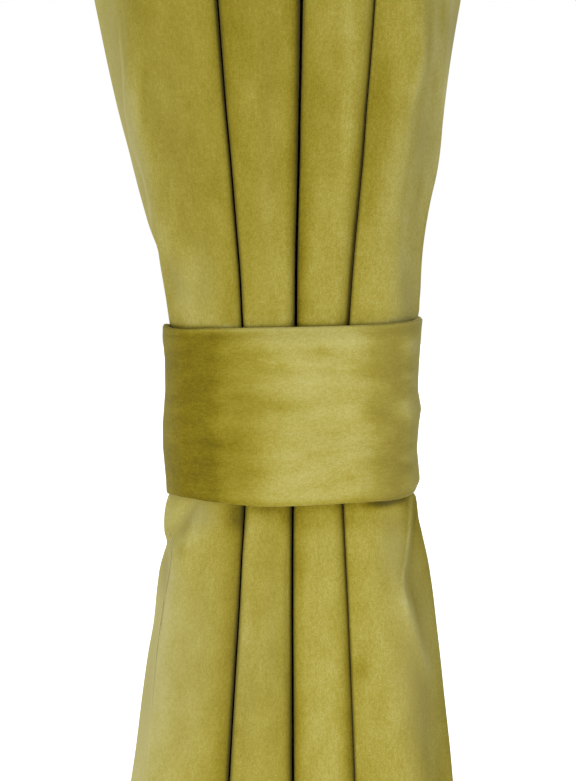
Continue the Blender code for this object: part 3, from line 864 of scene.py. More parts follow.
# %% Patches of the curtain's pile
Patch = namedtuple("Patch", "x up wide tall turned amount")
# The deepening patches whose up lies 0.050 to 0.056 below the band's middle, just under its lower edge, are
# painted shade under the band.
CURTAIN_PATCHES = (
    Patch(-0.0580, 0.078, 0.006, 0.012, 12, 0.15),
    Patch(-0.0345, 0.063, 0.006, 0.014, 0, -0.30),
    Patch(-0.0640, 0.072, 0.004, 0.012, 0, -0.25),
    Patch(-0.0780, 0.170, 0.005, 0.014, 0, -0.35),
    Patch(-0.0680, 0.150, 0.012, 0.030, 5, -0.30),
    Patch(-0.0600, 0.205, 0.010, 0.020, 0, -0.15),
    Patch(-0.0150, 0.185, 0.004, 0.030, 0, -0.20),
    Patch(-0.0120, 0.100, 0.007, 0.028, 0, 0.20),
    Patch(0.0090, 0.062, 0.006, 0.006, 0, -0.25),
    Patch(0.0220, 0.200, 0.005, 0.025, 0, -0.10),
    Patch(0.0295, 0.158, 0.0045, 0.070, -4, 0.28),
    Patch(0.0500, 0.190, 0.006, 0.035, 0, -0.20),
    Patch(0.0490, 0.160, 0.007, 0.035, -4, -0.30),
    Patch(0.0560, 0.062, 0.008, 0.012, 0, 0.20),
    Patch(-0.0305, -0.053, 0.006, 0.008, 15, -1.10),
    Patch(-0.0560, -0.052, 0.007, 0.006, -35, 0.35),
    Patch(-0.0655, -0.062, 0.004, 0.006, -35, -0.45),
    Patch(-0.0590, -0.072, 0.004, 0.004, 0, -0.45),
    Patch(-0.0025, -0.053, 0.004, 0.006, 0, -0.85),
    Patch(-0.0130, -0.050, 0.010, 0.005, 0, -0.40),
    Patch(-0.0120, -0.080, 0.007, 0.006, 0, -0.30),
    Patch(0.0100, -0.055, 0.008, 0.007, 10, -0.50),
    Patch(0.0350, -0.054, 0.009, 0.006, 0, -0.35),
    Patch(0.0380, -0.138, 0.006, 0.006, 20, -0.45),
    Patch(0.0060, -0.082, 0.004, 0.016, 0, -0.25),
    Patch(-0.0410, -0.150, 0.005, 0.035, 0, -0.10),
    Patch(0.0690, -0.145, 0.0060, 0.055, 5, -0.60),
    Patch(0.0570, -0.056, 0.0080, 0.007, 0, -0.45),
    Patch(-0.0178, -0.1735, 0.0090, 0.0009, 0, -0.40),
    Patch(-0.0290, -0.1722, 0.0030, 0.0009, -20, -0.30),
    Patch(0.0790, 0.220, 0.0060, 0.040, -5, 0.60),
    Patch(0.0745, 0.206, 0.0011, 0.014, 0, -0.45),
    Patch(0.0832, 0.222, 0.0011, 0.014, -3, -0.40),
    Patch(0.0785, 0.188, 0.0012, 0.013, -3, -0.45),
    Patch(0.0735, 0.166, 0.0011, 0.010, -5, -0.35),
    Patch(0.0762, 0.150, 0.0010, 0.009, -5, -0.30),
    Patch(0.0700, 0.128, 0.0012, 0.012, -6, -0.30),
    Patch(-0.0810, 0.178, 0.0016, 0.010, 0, -0.30),
    Patch(-0.0795, 0.190, 0.0022, 0.007, 0, -0.35),
    Patch(-0.0760, 0.165, 0.0020, 0.008, 0, 0.25),
    Patch(-0.0650, 0.128, 0.0016, 0.016, 5, 0.25),
    Patch(0.0310, 0.215, 0.0040, 0.025, 0, 0.35),
    Patch(0.0885, 0.234, 0.0050, 0.014, -5, 0.50),
    Patch(0.0610, 0.094, 0.0040, 0.016, 0, 0.40),
    Patch(0.0560, 0.125, 0.0060, 0.035, -6, 0.15),
    Patch(0.0752, -0.108, 0.0040, 0.030, 5, 0.40),
    Patch(0.0830, -0.197, 0.0060, 0.018, 0, -0.35),
    Patch(0.0255, -0.053, 0.0040, 0.008, 0, -0.35),
)

# The patches of painted sheen, a greyish cast where the cloth turns aside, lie mostly on the two outer folds.
CURTAIN_PAINTED_SHEEN = (
    Patch(0.0775, 0.195, 0.006, 0.035, -4, 0.30),
    Patch(0.0736, 0.150, 0.008, 0.025, 0, 0.35),
    Patch(0.0680, 0.105, 0.007, 0.030, -5, 0.30),
    Patch(0.0640, 0.066, 0.008, 0.020, 0, 0.50),
    Patch(0.0560, -0.070, 0.008, 0.022, 0, 0.50),
    Patch(0.0690, -0.145, 0.011, 0.060, 5, 0.55),
    Patch(-0.0612, -0.0600, 0.018, 0.006, 60, 0.45),
    Patch(-0.0690, -0.0850, 0.005, 0.016, 0, 0.40),
    Patch(-0.0130, 0.150, 0.005, 0.080, 0, 0.10),
    Patch(-0.0980, 0.205, 0.006, 0.045, 8, 0.35),
    Patch(-0.0700, 0.150, 0.022, 0.100, 8, 0.15),
    Patch(-0.0620, 0.076, 0.005, 0.016, 15, 0.35),
    Patch(-0.0620, -0.140, 0.022, 0.070, -8, 0.38),
    Patch(0.0890, 0.215, 0.004, 0.030, -5, 0.60),
    Patch(-0.0850, 0.140, 0.006, 0.040, 12, 0.35),
    Patch(-0.0820, -0.155, 0.008, 0.060, -10, 0.25),
    Patch(-0.0110, -0.130, 0.008, 0.060, 0, 0.20),
    Patch(-0.0250, -0.150, 0.006, 0.050, 0, 0.20),
    Patch(-0.0490, 0.072, 0.007, 0.022, 0, 0.22),
    Patch(-0.0490, -0.052, 0.007, 0.008, 0, 0.45),
    Patch(0.0560, 0.125, 0.007, 0.040, -6, 0.22),
)


def patched(lay, patches, x, up, weight):
    """A painted number, such as the pile's lie with its painted shading, after soft-edged oval patches are
    laid over it, at points x, up on the front.
    """
    for patch in patches:
        turn = math.radians(patch.turned)
        right, above = x - patch.x, up - patch.up
        wide = (right * math.cos(turn) + above * math.sin(turn)) / patch.wide
        tall = (above * math.cos(turn) - right * math.sin(turn)) / patch.tall
        lay = lay + patch.amount * weight * np.exp(-(wide**2 + tall**2))
    return lay


# %% Shade beside the band's edges
# Each line has its height and how deep the painted shadow on it is, and below 0 it is a painted lightening
# there instead.
EdgeShade = namedtuple("EdgeShade", "x top_line top_dark bottom_line bottom_dark")
EDGE_SHADES = (
    EdgeShade(-0.0680, 0.0506, 0.50, -0.0415, 0.00),
    EdgeShade(-0.0580, 0.0508, 0.60, -0.0422, 0.00),
    EdgeShade(-0.0460, 0.0510, 0.50, -0.0440, 0.00),
    EdgeShade(-0.0360, 0.0512, -0.50, -0.0465, 0.20),
    EdgeShade(-0.0170, 0.0515, 0.00, -0.0479, 0.70),
    EdgeShade(0.0050, 0.0520, 0.30, -0.0474, 0.50),
    EdgeShade(0.0210, 0.0523, 0.20, -0.0468, 0.60),
    EdgeShade(0.0375, 0.0528, -0.15, -0.0460, 0.80),
    EdgeShade(0.0450, 0.0532, -0.20, -0.0452, 1.80),
    EdgeShade(0.0510, 0.0536, -0.30, -0.0446, 2.80),
    EdgeShade(0.0595, 0.0542, -0.30, -0.0433, 1.70),
    EdgeShade(0.0660, 0.0550, -0.30, -0.0420, -0.40),
)
TOP_SHADE_SOFT = 0.0016
BOTTOM_SHADE_SOFT = 0.0030


def shade_on(line, dark, soft, x, up):
    """The painted shadow beside one edge of the band, at points x, up on the front."""
    from_line = (up - straight(EDGE_SHADES, line, x)) / soft
    return straight(EDGE_SHADES, dark, x) * np.exp(-(from_line**2))


def edge_shade(x, up):
    """The painted shadow beside both edges of the band."""
    above = shade_on("top_line", "top_dark", TOP_SHADE_SOFT, x, up)
    below = shade_on("bottom_line", "bottom_dark", BOTTOM_SHADE_SOFT, x, up)
    return above + below


# %% Paint the pile's lie and the painted shading on the curtain
TURNED_TO_FRONT = (-0.3, 0.0)
FRONT_DEPTH = (0.055, 0.090)
# Painted shade: the cloth tucked into each slit, where it turns from the front near a crease, is darkened by
# this much.
SLIT_PAINTED_SHADE = -0.85
SLIT_SHADE_FACING = (0.15, 0.90)
SLIT_SHADE_REACH = (0.006, 0.012)
PAINTED_SHEEN_FACING = (0.1, 0.4)

x, up = middle[:, :, 0], heights[:, None] + 0 * along
facing = -out[:, :, 1]
behind_front = depth - depth.min(axis=1)[:, None]
on_front = smooth(facing, *TURNED_TO_FRONT) * (1 - smooth(behind_front, *FRONT_DEPTH))
to_crease = [np.abs(x - column(SECTIONS, f"crease_{n}", heights)[:, None]) for n in range(1, FOLDS)]
# Painted shade in the slits and painted shadow along the band's edges go into the same number as the pile's
# lie.
slit_shade_share = (1 - smooth(facing, *SLIT_SHADE_FACING)) * (1 - smooth(np.min(to_crease, axis=0), *SLIT_SHADE_REACH))
lay = np.array([fold_lay_and_shading(height, across[row]) for row, height in enumerate(heights)])
lay = (lay + crease_painted_shading + SLIT_PAINTED_SHADE * slit_shade_share - edge_shade(x, up)) * on_front
lay = patched(lay, CURTAIN_PATCHES, x, up, on_front)
# The painted sheen, a greyish cast, laid on what faces the front.
bloom = patched(0 * lay, CURTAIN_PAINTED_SHEEN, x, up, on_front * smooth(facing, *PAINTED_SHEEN_FACING))
bloom = np.clip(bloom, 0.0, 1.0)
store(curtain.data, "pile_lay_and_painted_shading", np.tile(lay.ravel(), 2))
store(curtain.data, "painted_sheen_cast", np.tile(bloom.ravel(), 2))
print("pile lay on the curtain from", round(lay.min(), 2), "to", round(lay.max(), 2))


# %% [markdown]
# The band's route
#
# The band goes once round the gathered cloth and over its own start behind it. In plan it follows the convex
# outline of every row that it covers, set off by the gap to the cloth and by half its own thickness. The
# places come closer together at the corners. A table gives its uneven set: how much its edges rise and how
# far they stand off the cloth, by the share of the way round.

# %% How the band sits
BandSet = namedtuple("BandSet", "round top_rise bottom_rise top_off bottom_off")
BAND_SETS = (
    BandSet(0.00, 0.0000, 0.0000, 0.0000, 0.0000),
    BandSet(0.13, 0.0044, 0.0050, 0.0008, 0.0004),
    BandSet(0.22, 0.0062, 0.0088, 0.0018, 0.0004),
    BandSet(0.26, 0.0055, 0.0103, 0.0018, 0.0002),
    BandSet(0.31, 0.0038, 0.0074, 0.0006, 0.0002),
    BandSet(0.36, 0.0024, 0.0055, 0.0003, 0.0003),
    BandSet(0.41, 0.0015, 0.0038, 0.0003, 0.0004),
    BandSet(0.46, 0.0010, 0.0031, 0.0006, 0.0007),
    BandSet(0.51, 0.0005, 0.0058, 0.0004, 0.0007),
    BandSet(0.55, 0.0001, 0.0078, 0.0010, 0.0004),
    BandSet(0.575, 0.0007, 0.0084, 0.0014, 0.0004),
    BandSet(0.595, 0.0021, 0.0087, 0.0013, 0.0004),
    BandSet(0.65, 0.0014, 0.0084, 0.0013, 0.0004),
    BandSet(0.75, 0.0010, 0.0040, 0.0008, 0.0004),
    BandSet(0.88, 0.0004, 0.0010, 0.0004, 0.0002),
    BandSet(1.00, 0.0000, 0.0000, 0.0000, 0.0000),
)
BAND_STATIONS = 300
OUTLINE_STEPS = 1440
CORNER_SHARE = 0.012


# %% Find the route
def hull(places):
    """The convex outline of places in the plane, counterclockwise."""
    places = sorted(map(tuple, places))

    def chain(ordered):
        kept = []
        for x, y in ordered:
            while len(kept) > 1:
                (ax, ay), (bx, by) = kept[-2:]
                if (bx - ax) * (y - ay) - (by - ay) * (x - ax) > 0:
                    break
                kept.pop()
            kept.append((x, y))
        return kept[:-1]

    return np.array(chain(places) + chain(reversed(places)))


def offset_outline(places, distance, count):
    """Places round a convex outline at this distance, clockwise from its back and closer at its corners.

    It returns the places, the outward direction at each, and the length of the whole outline.
    """
    angles = math.pi / 2 - np.linspace(0.0, 2 * math.pi, OUTLINE_STEPS + 1)
    outward = np.stack([np.cos(angles), np.sin(angles)], axis=1)
    reached = places[np.argmax(outward @ places.T, axis=1)] + distance * outward
    steps = np.linalg.norm(np.diff(reached, axis=0), axis=1)
    passed = np.append(0.0, np.cumsum(steps + CORNER_SHARE * np.abs(np.diff(angles))))
    wanted = np.linspace(0.0, passed[-1], count, endpoint=False)
    x = np.interp(wanted, passed, reached[:, 0])
    y = np.interp(wanted, passed, reached[:, 1])
    turned = np.interp(wanted, passed, angles)
    return np.stack([x, y], axis=1), np.stack([np.cos(turned), np.sin(turned)], axis=1), steps.sum()


def band_route():
    """The middle of the band in plan, its outward direction, its share of the way round, and its lift."""
    covered = np.abs(heights) < BAND_REACH
    outline = hull(middle[covered][:, :, :2].reshape(-1, 2))
    clear = CLOTH / 2 + BAND_CLEAR + BAND_THICK / 2
    ring, outward, length = offset_outline(outline, clear, BAND_STATIONS)
    spacing = length / BAND_STATIONS
    start = int(np.argmin(np.abs(ring[:, 0] + BAND_LAP / 2) + np.maximum(-ring[:, 1], 0.0)))
    order = start + np.arange(BAND_STATIONS + round(BAND_LAP / spacing) + 1)
    before_lap = (order - start - BAND_STATIONS) * spacing
    lift = (BAND_THICK + LAP_CLEAR) * np.clip(1.0 + (before_lap + LAP_MARGIN) / LAP_RISE, 0.0, 1.0)
    order = order % BAND_STATIONS
    return ring[order], outward[order], order / BAND_STATIONS, lift


ring, outward, share, lift = band_route()
route = ring + outward * lift[:, None]
band_length = np.append(0.0, np.cumsum(np.linalg.norm(np.diff(route, axis=0), axis=1)))
print("band:", round(band_length[-1] * 1000), "mm long,", len(route), "stations")


# %% [markdown]
# The band from Geometry Nodes
#
# A strip that follows a path is a rule, so a small node tree makes it. The route goes in as a line of points
# that carry their own numbers: how much each edge rises and stands off there. The tree draws the section of a
# flat tube with soft edges, sweeps it along the line, and moves each point by those numbers. A few sizes are
# inputs of the tree, so the same tree would make any sash or cuff.

# %% Helpers that add nodes
def add_node(tree, kind, settings=None, inputs=None):
    """Adds a node with its settings. An input takes a value, or another node's output, which is linked."""
    node = tree.nodes.new(kind)
    for name, value in (settings or {}).items():
        setattr(node, name, value)
    for name, value in (inputs or {}).items():
        socket = node.inputs[name]
        if isinstance(value, bpy.types.NodeSocket):
            tree.links.new(value, socket)
        else:
            socket.default_value = value
    return node


def named_float(tree, name):
    """The output of a node that reads a named number from the geometry."""
    node = add_node(tree, "GeometryNodeInputNamedAttribute", {"data_type": "FLOAT"}, {"Name": name})
    return node.outputs["Attribute"]


def calculated(tree, operation, *values):
    """The output of a Math node over these values or outputs."""
    return add_node(tree, "ShaderNodeMath", {"operation": operation}, dict(enumerate(values))).outputs[0]


def mixed(tree, kind, factor, start, end):
    """The output of a Mix node that goes from start to end with the factor, in numbers or in colours."""
    node = add_node(tree, "ShaderNodeMix", {"data_type": kind}, {"Factor": factor, "A": start, "B": end})
    return node.outputs["Result"]


def new_tree(name, inputs):
    """An empty geometry tree with a geometry input and output and these named number inputs."""
    tree = bpy.data.node_groups.new(name, "GeometryNodeTree")
    tree.interface.new_socket("Geometry", in_out="INPUT", socket_type="NodeSocketGeometry")
    for label, value in inputs.items():
        socket = tree.interface.new_socket(label, in_out="INPUT", socket_type="NodeSocketFloat")
        socket.default_value = value
    tree.interface.new_socket("Material", in_out="INPUT", socket_type="NodeSocketMaterial")
    tree.interface.new_socket("Geometry", in_out="OUTPUT", socket_type="NodeSocketGeometry")
    return tree


def finish_tree(tree, geometry, material):
    """Ends a geometry tree with real, smooth geometry in its material."""
    real = add_node(tree, "GeometryNodeRealizeInstances", None, {"Geometry": geometry})
    rounded = add_node(tree, "GeometryNodeSetShadeSmooth", None, {"Geometry": real.outputs["Geometry"]})
    dressed = add_node(
        tree,
        "GeometryNodeSetMaterial",
        None,
        {"Geometry": rounded.outputs["Geometry"], "Material": material},
    )
    add_node(tree, "NodeGroupOutput", None, {"Geometry": dressed.outputs["Geometry"]})


def grown(source, tree, values, name):
    """The plain mesh object that a geometry tree makes from a source object, which is then removed."""
    modifier = source.modifiers.new(tree.name, "NODES")
    modifier.node_group = tree
    sockets = {item.name: item.identifier for item in tree.interface.items_tree if item.in_out == "INPUT"}
    for label, value in values.items():
        modifier[sockets[label]] = value
    graph = bpy.context.evaluated_depsgraph_get()
    mesh = bpy.data.meshes.new_from_object(source.evaluated_get(graph))
    bpy.data.objects.remove(source, do_unlink=True)
    mesh.name = name
    made = bpy.data.objects.new(name, mesh)
    bpy.context.scene.collection.objects.link(made)
    return made


# %% The tree that sweeps the band
BAND_SIZES = {
    "Height": BAND_HEIGHT,
    "Thickness": BAND_THICK,
    "Edge round": 0.30 * BAND_THICK,
    "Step": 0.0015,
}


def band_section(tree, given):
    """The section of a flat tube, whose points know how far up and how far out they are."""
    section = add_node(
        tree,
        "GeometryNodeCurvePrimitiveQuadrilateral",
        {"mode": "RECTANGLE"},
        {"Width": given["Thickness"], "Height": given["Height"]},
    )
    soft = add_node(
        tree,
        "GeometryNodeFilletCurve",
        {"mode": "POLY"},
        {"Curve": section.outputs["Curve"], "Count": 4, "Radius": given["Edge round"]},
    )
    stepped = add_node(
        tree,
        "GeometryNodeResampleCurve",
        {"mode": "LENGTH"},
        {"Curve": soft.outputs["Curve"], "Length": given["Step"]},
    )
    place = add_node(tree, "GeometryNodeInputPosition")
    parts = add_node(tree, "ShaderNodeSeparateXYZ", None, {"Vector": place.outputs["Position"]})

    # A swept section hangs upside down from a line whose normals are level, so its own Y points down.
    up = calculated(tree, "DIVIDE", parts.outputs["Y"], given["Height"])
    share_up = calculated(tree, "SUBTRACT", 0.5, up)
    depth_out = calculated(tree, "MULTIPLY", parts.outputs["X"], -1.0)
    curve = stepped.outputs["Curve"]
    for name, value in (("share_up", share_up), ("depth", depth_out)):
        told = add_node(
            tree,
            "GeometryNodeStoreNamedAttribute",
            {"data_type": "FLOAT", "domain": "POINT"},
            {"Geometry": curve, "Name": name, "Value": value},
        )
        curve = told.outputs["Geometry"]
    return curve


def band_offset(tree):
    """How far each point of the swept band moves: its edge's rise, and out by its stand-off."""
    share_up = named_float(tree, "share_up")
    rise = mixed(tree, "FLOAT", share_up, named_float(tree, "bottom_rise"), named_float(tree, "top_rise"))
    off = mixed(tree, "FLOAT", share_up, named_float(tree, "bottom_off"), named_float(tree, "top_off"))
    thinner = calculated(tree, "MULTIPLY", named_float(tree, "depth"), named_float(tree, "thinner"))
    outward_way = add_node(
        tree, "GeometryNodeInputNamedAttribute", {"data_type": "FLOAT_VECTOR"}, {"Name": "outward"}
    )
    sideways = add_node(
        tree,
        "ShaderNodeVectorMath",
        {"operation": "SCALE"},
        {"Vector": outward_way.outputs["Attribute"], "Scale": calculated(tree, "ADD", off, thinner)},
    )
    upward = add_node(tree, "ShaderNodeCombineXYZ", None, {"Z": rise})
    moved = add_node(
        tree,
        "ShaderNodeVectorMath",
        {"operation": "ADD"},
        {0: sideways.outputs["Vector"], 1: upward.outputs["Vector"]},
    )
    return moved.outputs["Vector"]


def band_tree():
    """Sweeps a flat tube along the route and sets each edge where the route's own numbers put it."""
    tree = new_tree("band_along_its_route", BAND_SIZES)
    given = add_node(tree, "NodeGroupInput").outputs
    line = add_node(tree, "GeometryNodeMeshToCurve", None, {"Mesh": given["Geometry"]})
    upright = add_node(
        tree, "GeometryNodeSetCurveNormal", {"mode": "Z_UP"}, {"Curve": line.outputs["Curve"]}
    )
    swept = add_node(
        tree,
        "GeometryNodeCurveToMesh",
        None,
        {
            "Curve": upright.outputs["Curve"],
            "Profile Curve": band_section(tree, given),
            "Fill Caps": True,
        },
    )
    placed = add_node(
        tree,
        "GeometryNodeSetPosition",
        None,
        {"Geometry": swept.outputs["Mesh"], "Offset": band_offset(tree)},
    )
    finish_tree(tree, placed.outputs["Geometry"], given["Material"])
    return tree


# %% [markdown]
# Velvet as a material
#
# This is polyester velvet: a cut pile about 1 mm deep, standing on a woven ground, piece-dyed chartreuse.
# Face on, the eye looks down into the pile and sees a matt, deep ochre green. Where the cloth turns away, the
# tips of the pile catch the light and it goes pale and grey, which the shader's sheen gives. The colour
# itself moves along a ramp from ochre to pale with the number painted above, which holds painted shade and
# painted highlight as well as the pile's lie, and towards one greyish tint with the painted sheen. Noise in
# the cloth's own metres breaks the first number up into blotches, streaks along the nap, and the grain of the
# pile.

# %% Colours of the velvet
def linear(code):
    """An sRGB colour such as #A49B41 as linear red, green, blue and alpha."""
    parts = [int(code[n: n + 2], 16) / 255 for n in (1, 3, 5)]
    return (*(c / 12.92 if c <= 0.04045 else ((c + 0.055) / 1.055) ** 2.4 for c in parts), 1.0)


# Below -1 the ramp gives the painted shade in the slits and under the band, and above 1 the painted highlight
# on turned edges and rims.
PILE_AND_SHADE_COLOURS = (
    (-2.0, "#3A3102"),
    (-1.0, "#736508"),
    (-0.5, "#83751A"),
    (0.0, "#92852B"),
    (0.5, "#A29745"),
    (1.0, "#B1A964"),
    (1.5, "#BEB77C"),
)
# The greyish tint toward which the painted sheen draws the colour.
PAINTED_SHEEN_COLOUR = "#8F8753"
SHEEN_TINT = "#E5DB9A"
Grain = namedtuple("Grain", "size stretch strength detail")
CURTAIN_GRAIN = (
    Grain(0.045, (1.0, 0.55), 0.42, 3.0),
    Grain(0.010, (1.0, 0.50), 0.33, 3.0),
    Grain(0.0016, (1.0, 0.60), 0.30, 1.0),
    Grain(0.0007, (1.0, 0.80), 0.30, 0.0),
)
BAND_GRAIN = (
    Grain(0.030, (0.50, 1.0), 0.25, 4.0),
    Grain(0.008, (0.40, 1.0), 0.28, 3.0),
    Grain(0.0016, (0.60, 1.0), 0.27, 1.0),
    Grain(0.0007, (0.80, 1.0), 0.27, 0.0),
)
print("deepest ochre in linear light:", [round(c, 3) for c in linear(PILE_AND_SHADE_COLOURS[0][1])[:3]])


# %% Make the velvet
GRAIN_ROUGH = 0.55
PILE_BUMP = 0.25
PILE_DEEP = 0.0006
SHEEN = 0.60
SHEEN_ROUGH = 0.30


def new_material(name, roughness, specular):
    """A material with this finish, its node tree and its shader."""
    material = bpy.data.materials.new(name)
    material.use_nodes = True
    shader = material.node_tree.nodes["Principled BSDF"]
    shader.inputs["Roughness"].default_value = roughness
    shader.inputs["Specular IOR Level"].default_value = specular
    return material, material.node_tree, shader


def raise_by(tree, shader, height, strength, distance):
    """Lets a height stand out on the shader's surface as bump."""
    inputs = {"Height": height, "Strength": strength, "Distance": distance}
    bump = add_node(tree, "ShaderNodeBump", None, inputs)
    tree.links.new(bump.outputs["Normal"], shader.inputs["Normal"])


def grained(tree, lie_and_painted_shading, grains):
    """The pile's lie with its painted shading, after each grain's noise is added to it, in the cloth's own
    metres.
    """
    cloth_map = add_node(tree, "ShaderNodeUVMap", {"uv_map": "cloth"})
    for grain in grains:
        stretched = add_node(
            tree,
            "ShaderNodeMapping",
            None,
            {"Vector": cloth_map.outputs["UV"], "Scale": (*grain.stretch, 1.0)},
        )
        cloudy = add_node(
            tree,
            "ShaderNodeTexNoise",
            {"noise_dimensions": "2D"},
            {
                "Vector": stretched.outputs["Vector"],
                "Scale": 1.0 / grain.size,
                "Detail": grain.detail,
                "Roughness": GRAIN_ROUGH,
            },
        )
        centred = calculated(tree, "SUBTRACT", cloudy.outputs["Fac"], 0.5)
        lie_and_painted_shading = calculated(tree, "MULTIPLY_ADD", centred, 2 * grain.strength, lie_and_painted_shading)
    return lie_and_painted_shading


def velvet(name, grains):
    """Cut-pile velvet whose colour follows the painted lie of the pile with its painted shade and highlight,
    the painted sheen, and a few sizes of grain.
    """
    material, tree, shader = new_material(name, roughness=0.9, specular=0.15)
    painted = add_node(tree, "ShaderNodeAttribute", {"attribute_name": "pile_lay_and_painted_shading"})
    painted_sheen_node = add_node(tree, "ShaderNodeAttribute", {"attribute_name": "painted_sheen_cast"})
    total = grained(tree, painted.outputs["Fac"], grains)
    deepest, palest = PILE_AND_SHADE_COLOURS[0][0], PILE_AND_SHADE_COLOURS[-1][0]
    placed = add_node(
        tree, "ShaderNodeMapRange", None, {"Value": total, "From Min": deepest, "From Max": palest}
    )
    ramp_node = add_node(tree, "ShaderNodeValToRGB", None, {"Fac": placed.outputs["Result"]})
    ramp_node.color_ramp.interpolation = "B_SPLINE"
    stops = ramp_node.color_ramp.elements
    while len(stops) < len(PILE_AND_SHADE_COLOURS):
        stops.new(0.5)
    for stop, (lie_and_painted_shading, code) in zip(stops, PILE_AND_SHADE_COLOURS):
        stop.position = (lie_and_painted_shading - deepest) / (palest - deepest)
        stop.color = linear(code)
    coloured_with_painted_sheen = mixed(
        tree, "RGBA", painted_sheen_node.outputs["Fac"], ramp_node.outputs["Color"], linear(PAINTED_SHEEN_COLOUR)
    )
    tree.links.new(coloured_with_painted_sheen, shader.inputs["Base Color"])
    raise_by(tree, shader, total, PILE_BUMP, PILE_DEEP)
    shader.inputs["Sheen Weight"].default_value = SHEEN
    shader.inputs["Sheen Roughness"].default_value = SHEEN_ROUGH
    shader.inputs["Sheen Tint"].default_value = linear(SHEEN_TINT)
    return material


curtain_velvet = velvet("cut_pile_velvet_down_the_drop", CURTAIN_GRAIN)
band_velvet = velvet("cut_pile_velvet_along_the_band", BAND_GRAIN)

# %% [markdown]
# The reverse and the thread
#
# The back of the cloth is the ground that the pile is rooted in: a plain weave in the same dye, matt, with no
# sheen. Its threads are drawn about 3 mm apart, much coarser than real ones, so that they show at all. The
# hems are sewn with a polyester thread of the same colour, which is a little shinier than the pile.

# %% Make the reverse and the thread
WEAVE_SCALE = 100.0
WEAVE_SHADE = 0.35
BLOTCH = 0.060
FIBRE = 0.0008


def woven_ground():
    """The plain-woven ground on the cloth's reverse, with threads both ways."""
    material, tree, shader = new_material("plain_woven_ground", roughness=0.85, specular=0.2)
    cloth_map = add_node(tree, "ShaderNodeUVMap", {"uv_map": "cloth"})
    waves = [
        add_node(
            tree,
            "ShaderNodeTexWave",
            {"wave_type": "BANDS", "bands_direction": direction},
            {"Vector": cloth_map.outputs["UV"], "Scale": WEAVE_SCALE, "Distortion": 0.6},
        )
        for direction in ("X", "Y")
    ]
    weave = calculated(tree, "MULTIPLY", waves[0].outputs["Fac"], waves[1].outputs["Fac"])
    cloudy = add_node(
        tree,
        "ShaderNodeTexNoise",
        {"noise_dimensions": "2D"},
        {"Vector": cloth_map.outputs["UV"], "Scale": 1 / BLOTCH, "Detail": 3.0},
    )
    shade = calculated(tree, "MULTIPLY_ADD", weave, WEAVE_SHADE, cloudy.outputs["Fac"])
    colour = mixed(tree, "RGBA", shade, linear("#857A33"), linear("#A39A55"))
    tree.links.new(colour, shader.inputs["Base Color"])
    raise_by(tree, shader, weave, strength=0.2, distance=0.0002)
    return material


def sewing_thread():
    """Twisted polyester thread in the cloth's own colour."""
    material, tree, shader = new_material("polyester_sewing_thread", roughness=0.5, specular=0.4)
    place = add_node(tree, "ShaderNodeTexCoord")
    fibres = add_node(
        tree,
        "ShaderNodeTexNoise",
        None,
        {"Vector": place.outputs["Object"], "Scale": 1 / FIBRE, "Detail": 2.0},
    )
    colour = mixed(tree, "RGBA", fibres.outputs["Fac"], linear("#8C7F2A"), linear("#B0A552"))
    tree.links.new(colour, shader.inputs["Base Color"])
    return material


ground = woven_ground()
thread = sewing_thread()
curtain.data.materials.append(curtain_velvet)
curtain.data.materials.append(ground)
reverse_first = (rows - 1) * (columns - 1)
sides = np.zeros(len(faces), np.int32)
sides[reverse_first: 2 * reverse_first] = 1
curtain.data.polygons.foreach_set("material_index", sides)
print("materials:", [material.name for material in curtain.data.materials])

# %% Grow the band along its route
END_REACH = BAND_THICK / 2
END_LEAST = 0.2


def band_line():
    """The route as a line of points that carry their own rises, stand-offs and thinning."""
    points = np.column_stack([route, np.full(len(route), -TIE_DROP)])
    ends = [(n, n + 1) for n in range(len(route) - 1)]
    line_object = new_mesh_object("band_line", points, edges=ends)
    from_end = np.minimum(band_length, band_length[-1] - band_length)
    inside = np.clip(from_end / END_REACH, 0.0, 1.0)
    numbers = {name: column(BAND_SETS, name, share) for name in BandSet._fields[1:]}
    numbers["thinner"] = np.sqrt(1 - (1 - inside) ** 2).clip(END_LEAST, 1.0) - 1.0
    numbers["length_along"] = band_length
    for name, values in numbers.items():
        store(line_object.data, name, values)
    store(line_object.data, "outward", np.column_stack([outward, np.zeros(len(outward))]))
    return line_object


band = grown(band_line(), band_tree(), {**BAND_SIZES, "Material": band_velvet}, "velvet_tieback_band")
band_triangles = sum(len(face.vertices) - 2 for face in band.data.polygons)
print("band:", len(band.data.vertices), "points,", band_triangles, "triangles")

# %% [markdown]
# The band's uneven edges
#
# The swept tube is too even. In use the band's front swells a little, its sides wave where the folds behind
# them press, and a few shallow creases run along it. The tube's points carry how far up they are and how far
# along, so each can be moved straight out by the right amount. Along its top and bottom the band is pressed
# flat, or stands proud, and a table says how far its outer face draws in there.

# %% Set the band's uneven edges
BandWave = namedtuple("BandWave", "up left right")
BAND_WAVES = (
    BandWave(-0.045, 0.0000, -0.0002),
    BandWave(-0.034, -0.0005, 0.0014),
    BandWave(-0.016, 0.0010, -0.0006),
    BandWave(-0.003, 0.0010, 0.0002),
    BandWave(0.006, 0.0002, 0.0013),
    BandWave(0.017, -0.0007, -0.0008),
    BandWave(0.031, -0.0008, -0.0003),
    BandWave(0.044, 0.0004, 0.0004),
    BandWave(0.054, 0.0010, 0.0008),
)
BAND_CREASES = (
    Crease(((-0.0330, 0.0300), (-0.0050, 0.0285), (0.0400, 0.0270)), -0.0005, 0.0016, 0.0),
    Crease(((-0.0200, -0.0040), (0.0100, -0.0060), (0.0400, -0.0055)), -0.0004, 0.0014, 0.0),
    Crease(((-0.0600, 0.0490), (-0.0450, 0.0380), (-0.0300, 0.0330)), -0.0006, 0.0020, 0.0),
    Crease(((0.0380, 0.0120), (0.0450, 0.0040), (0.0520, -0.0020)), 0.0006, 0.0022, 0.0),
)

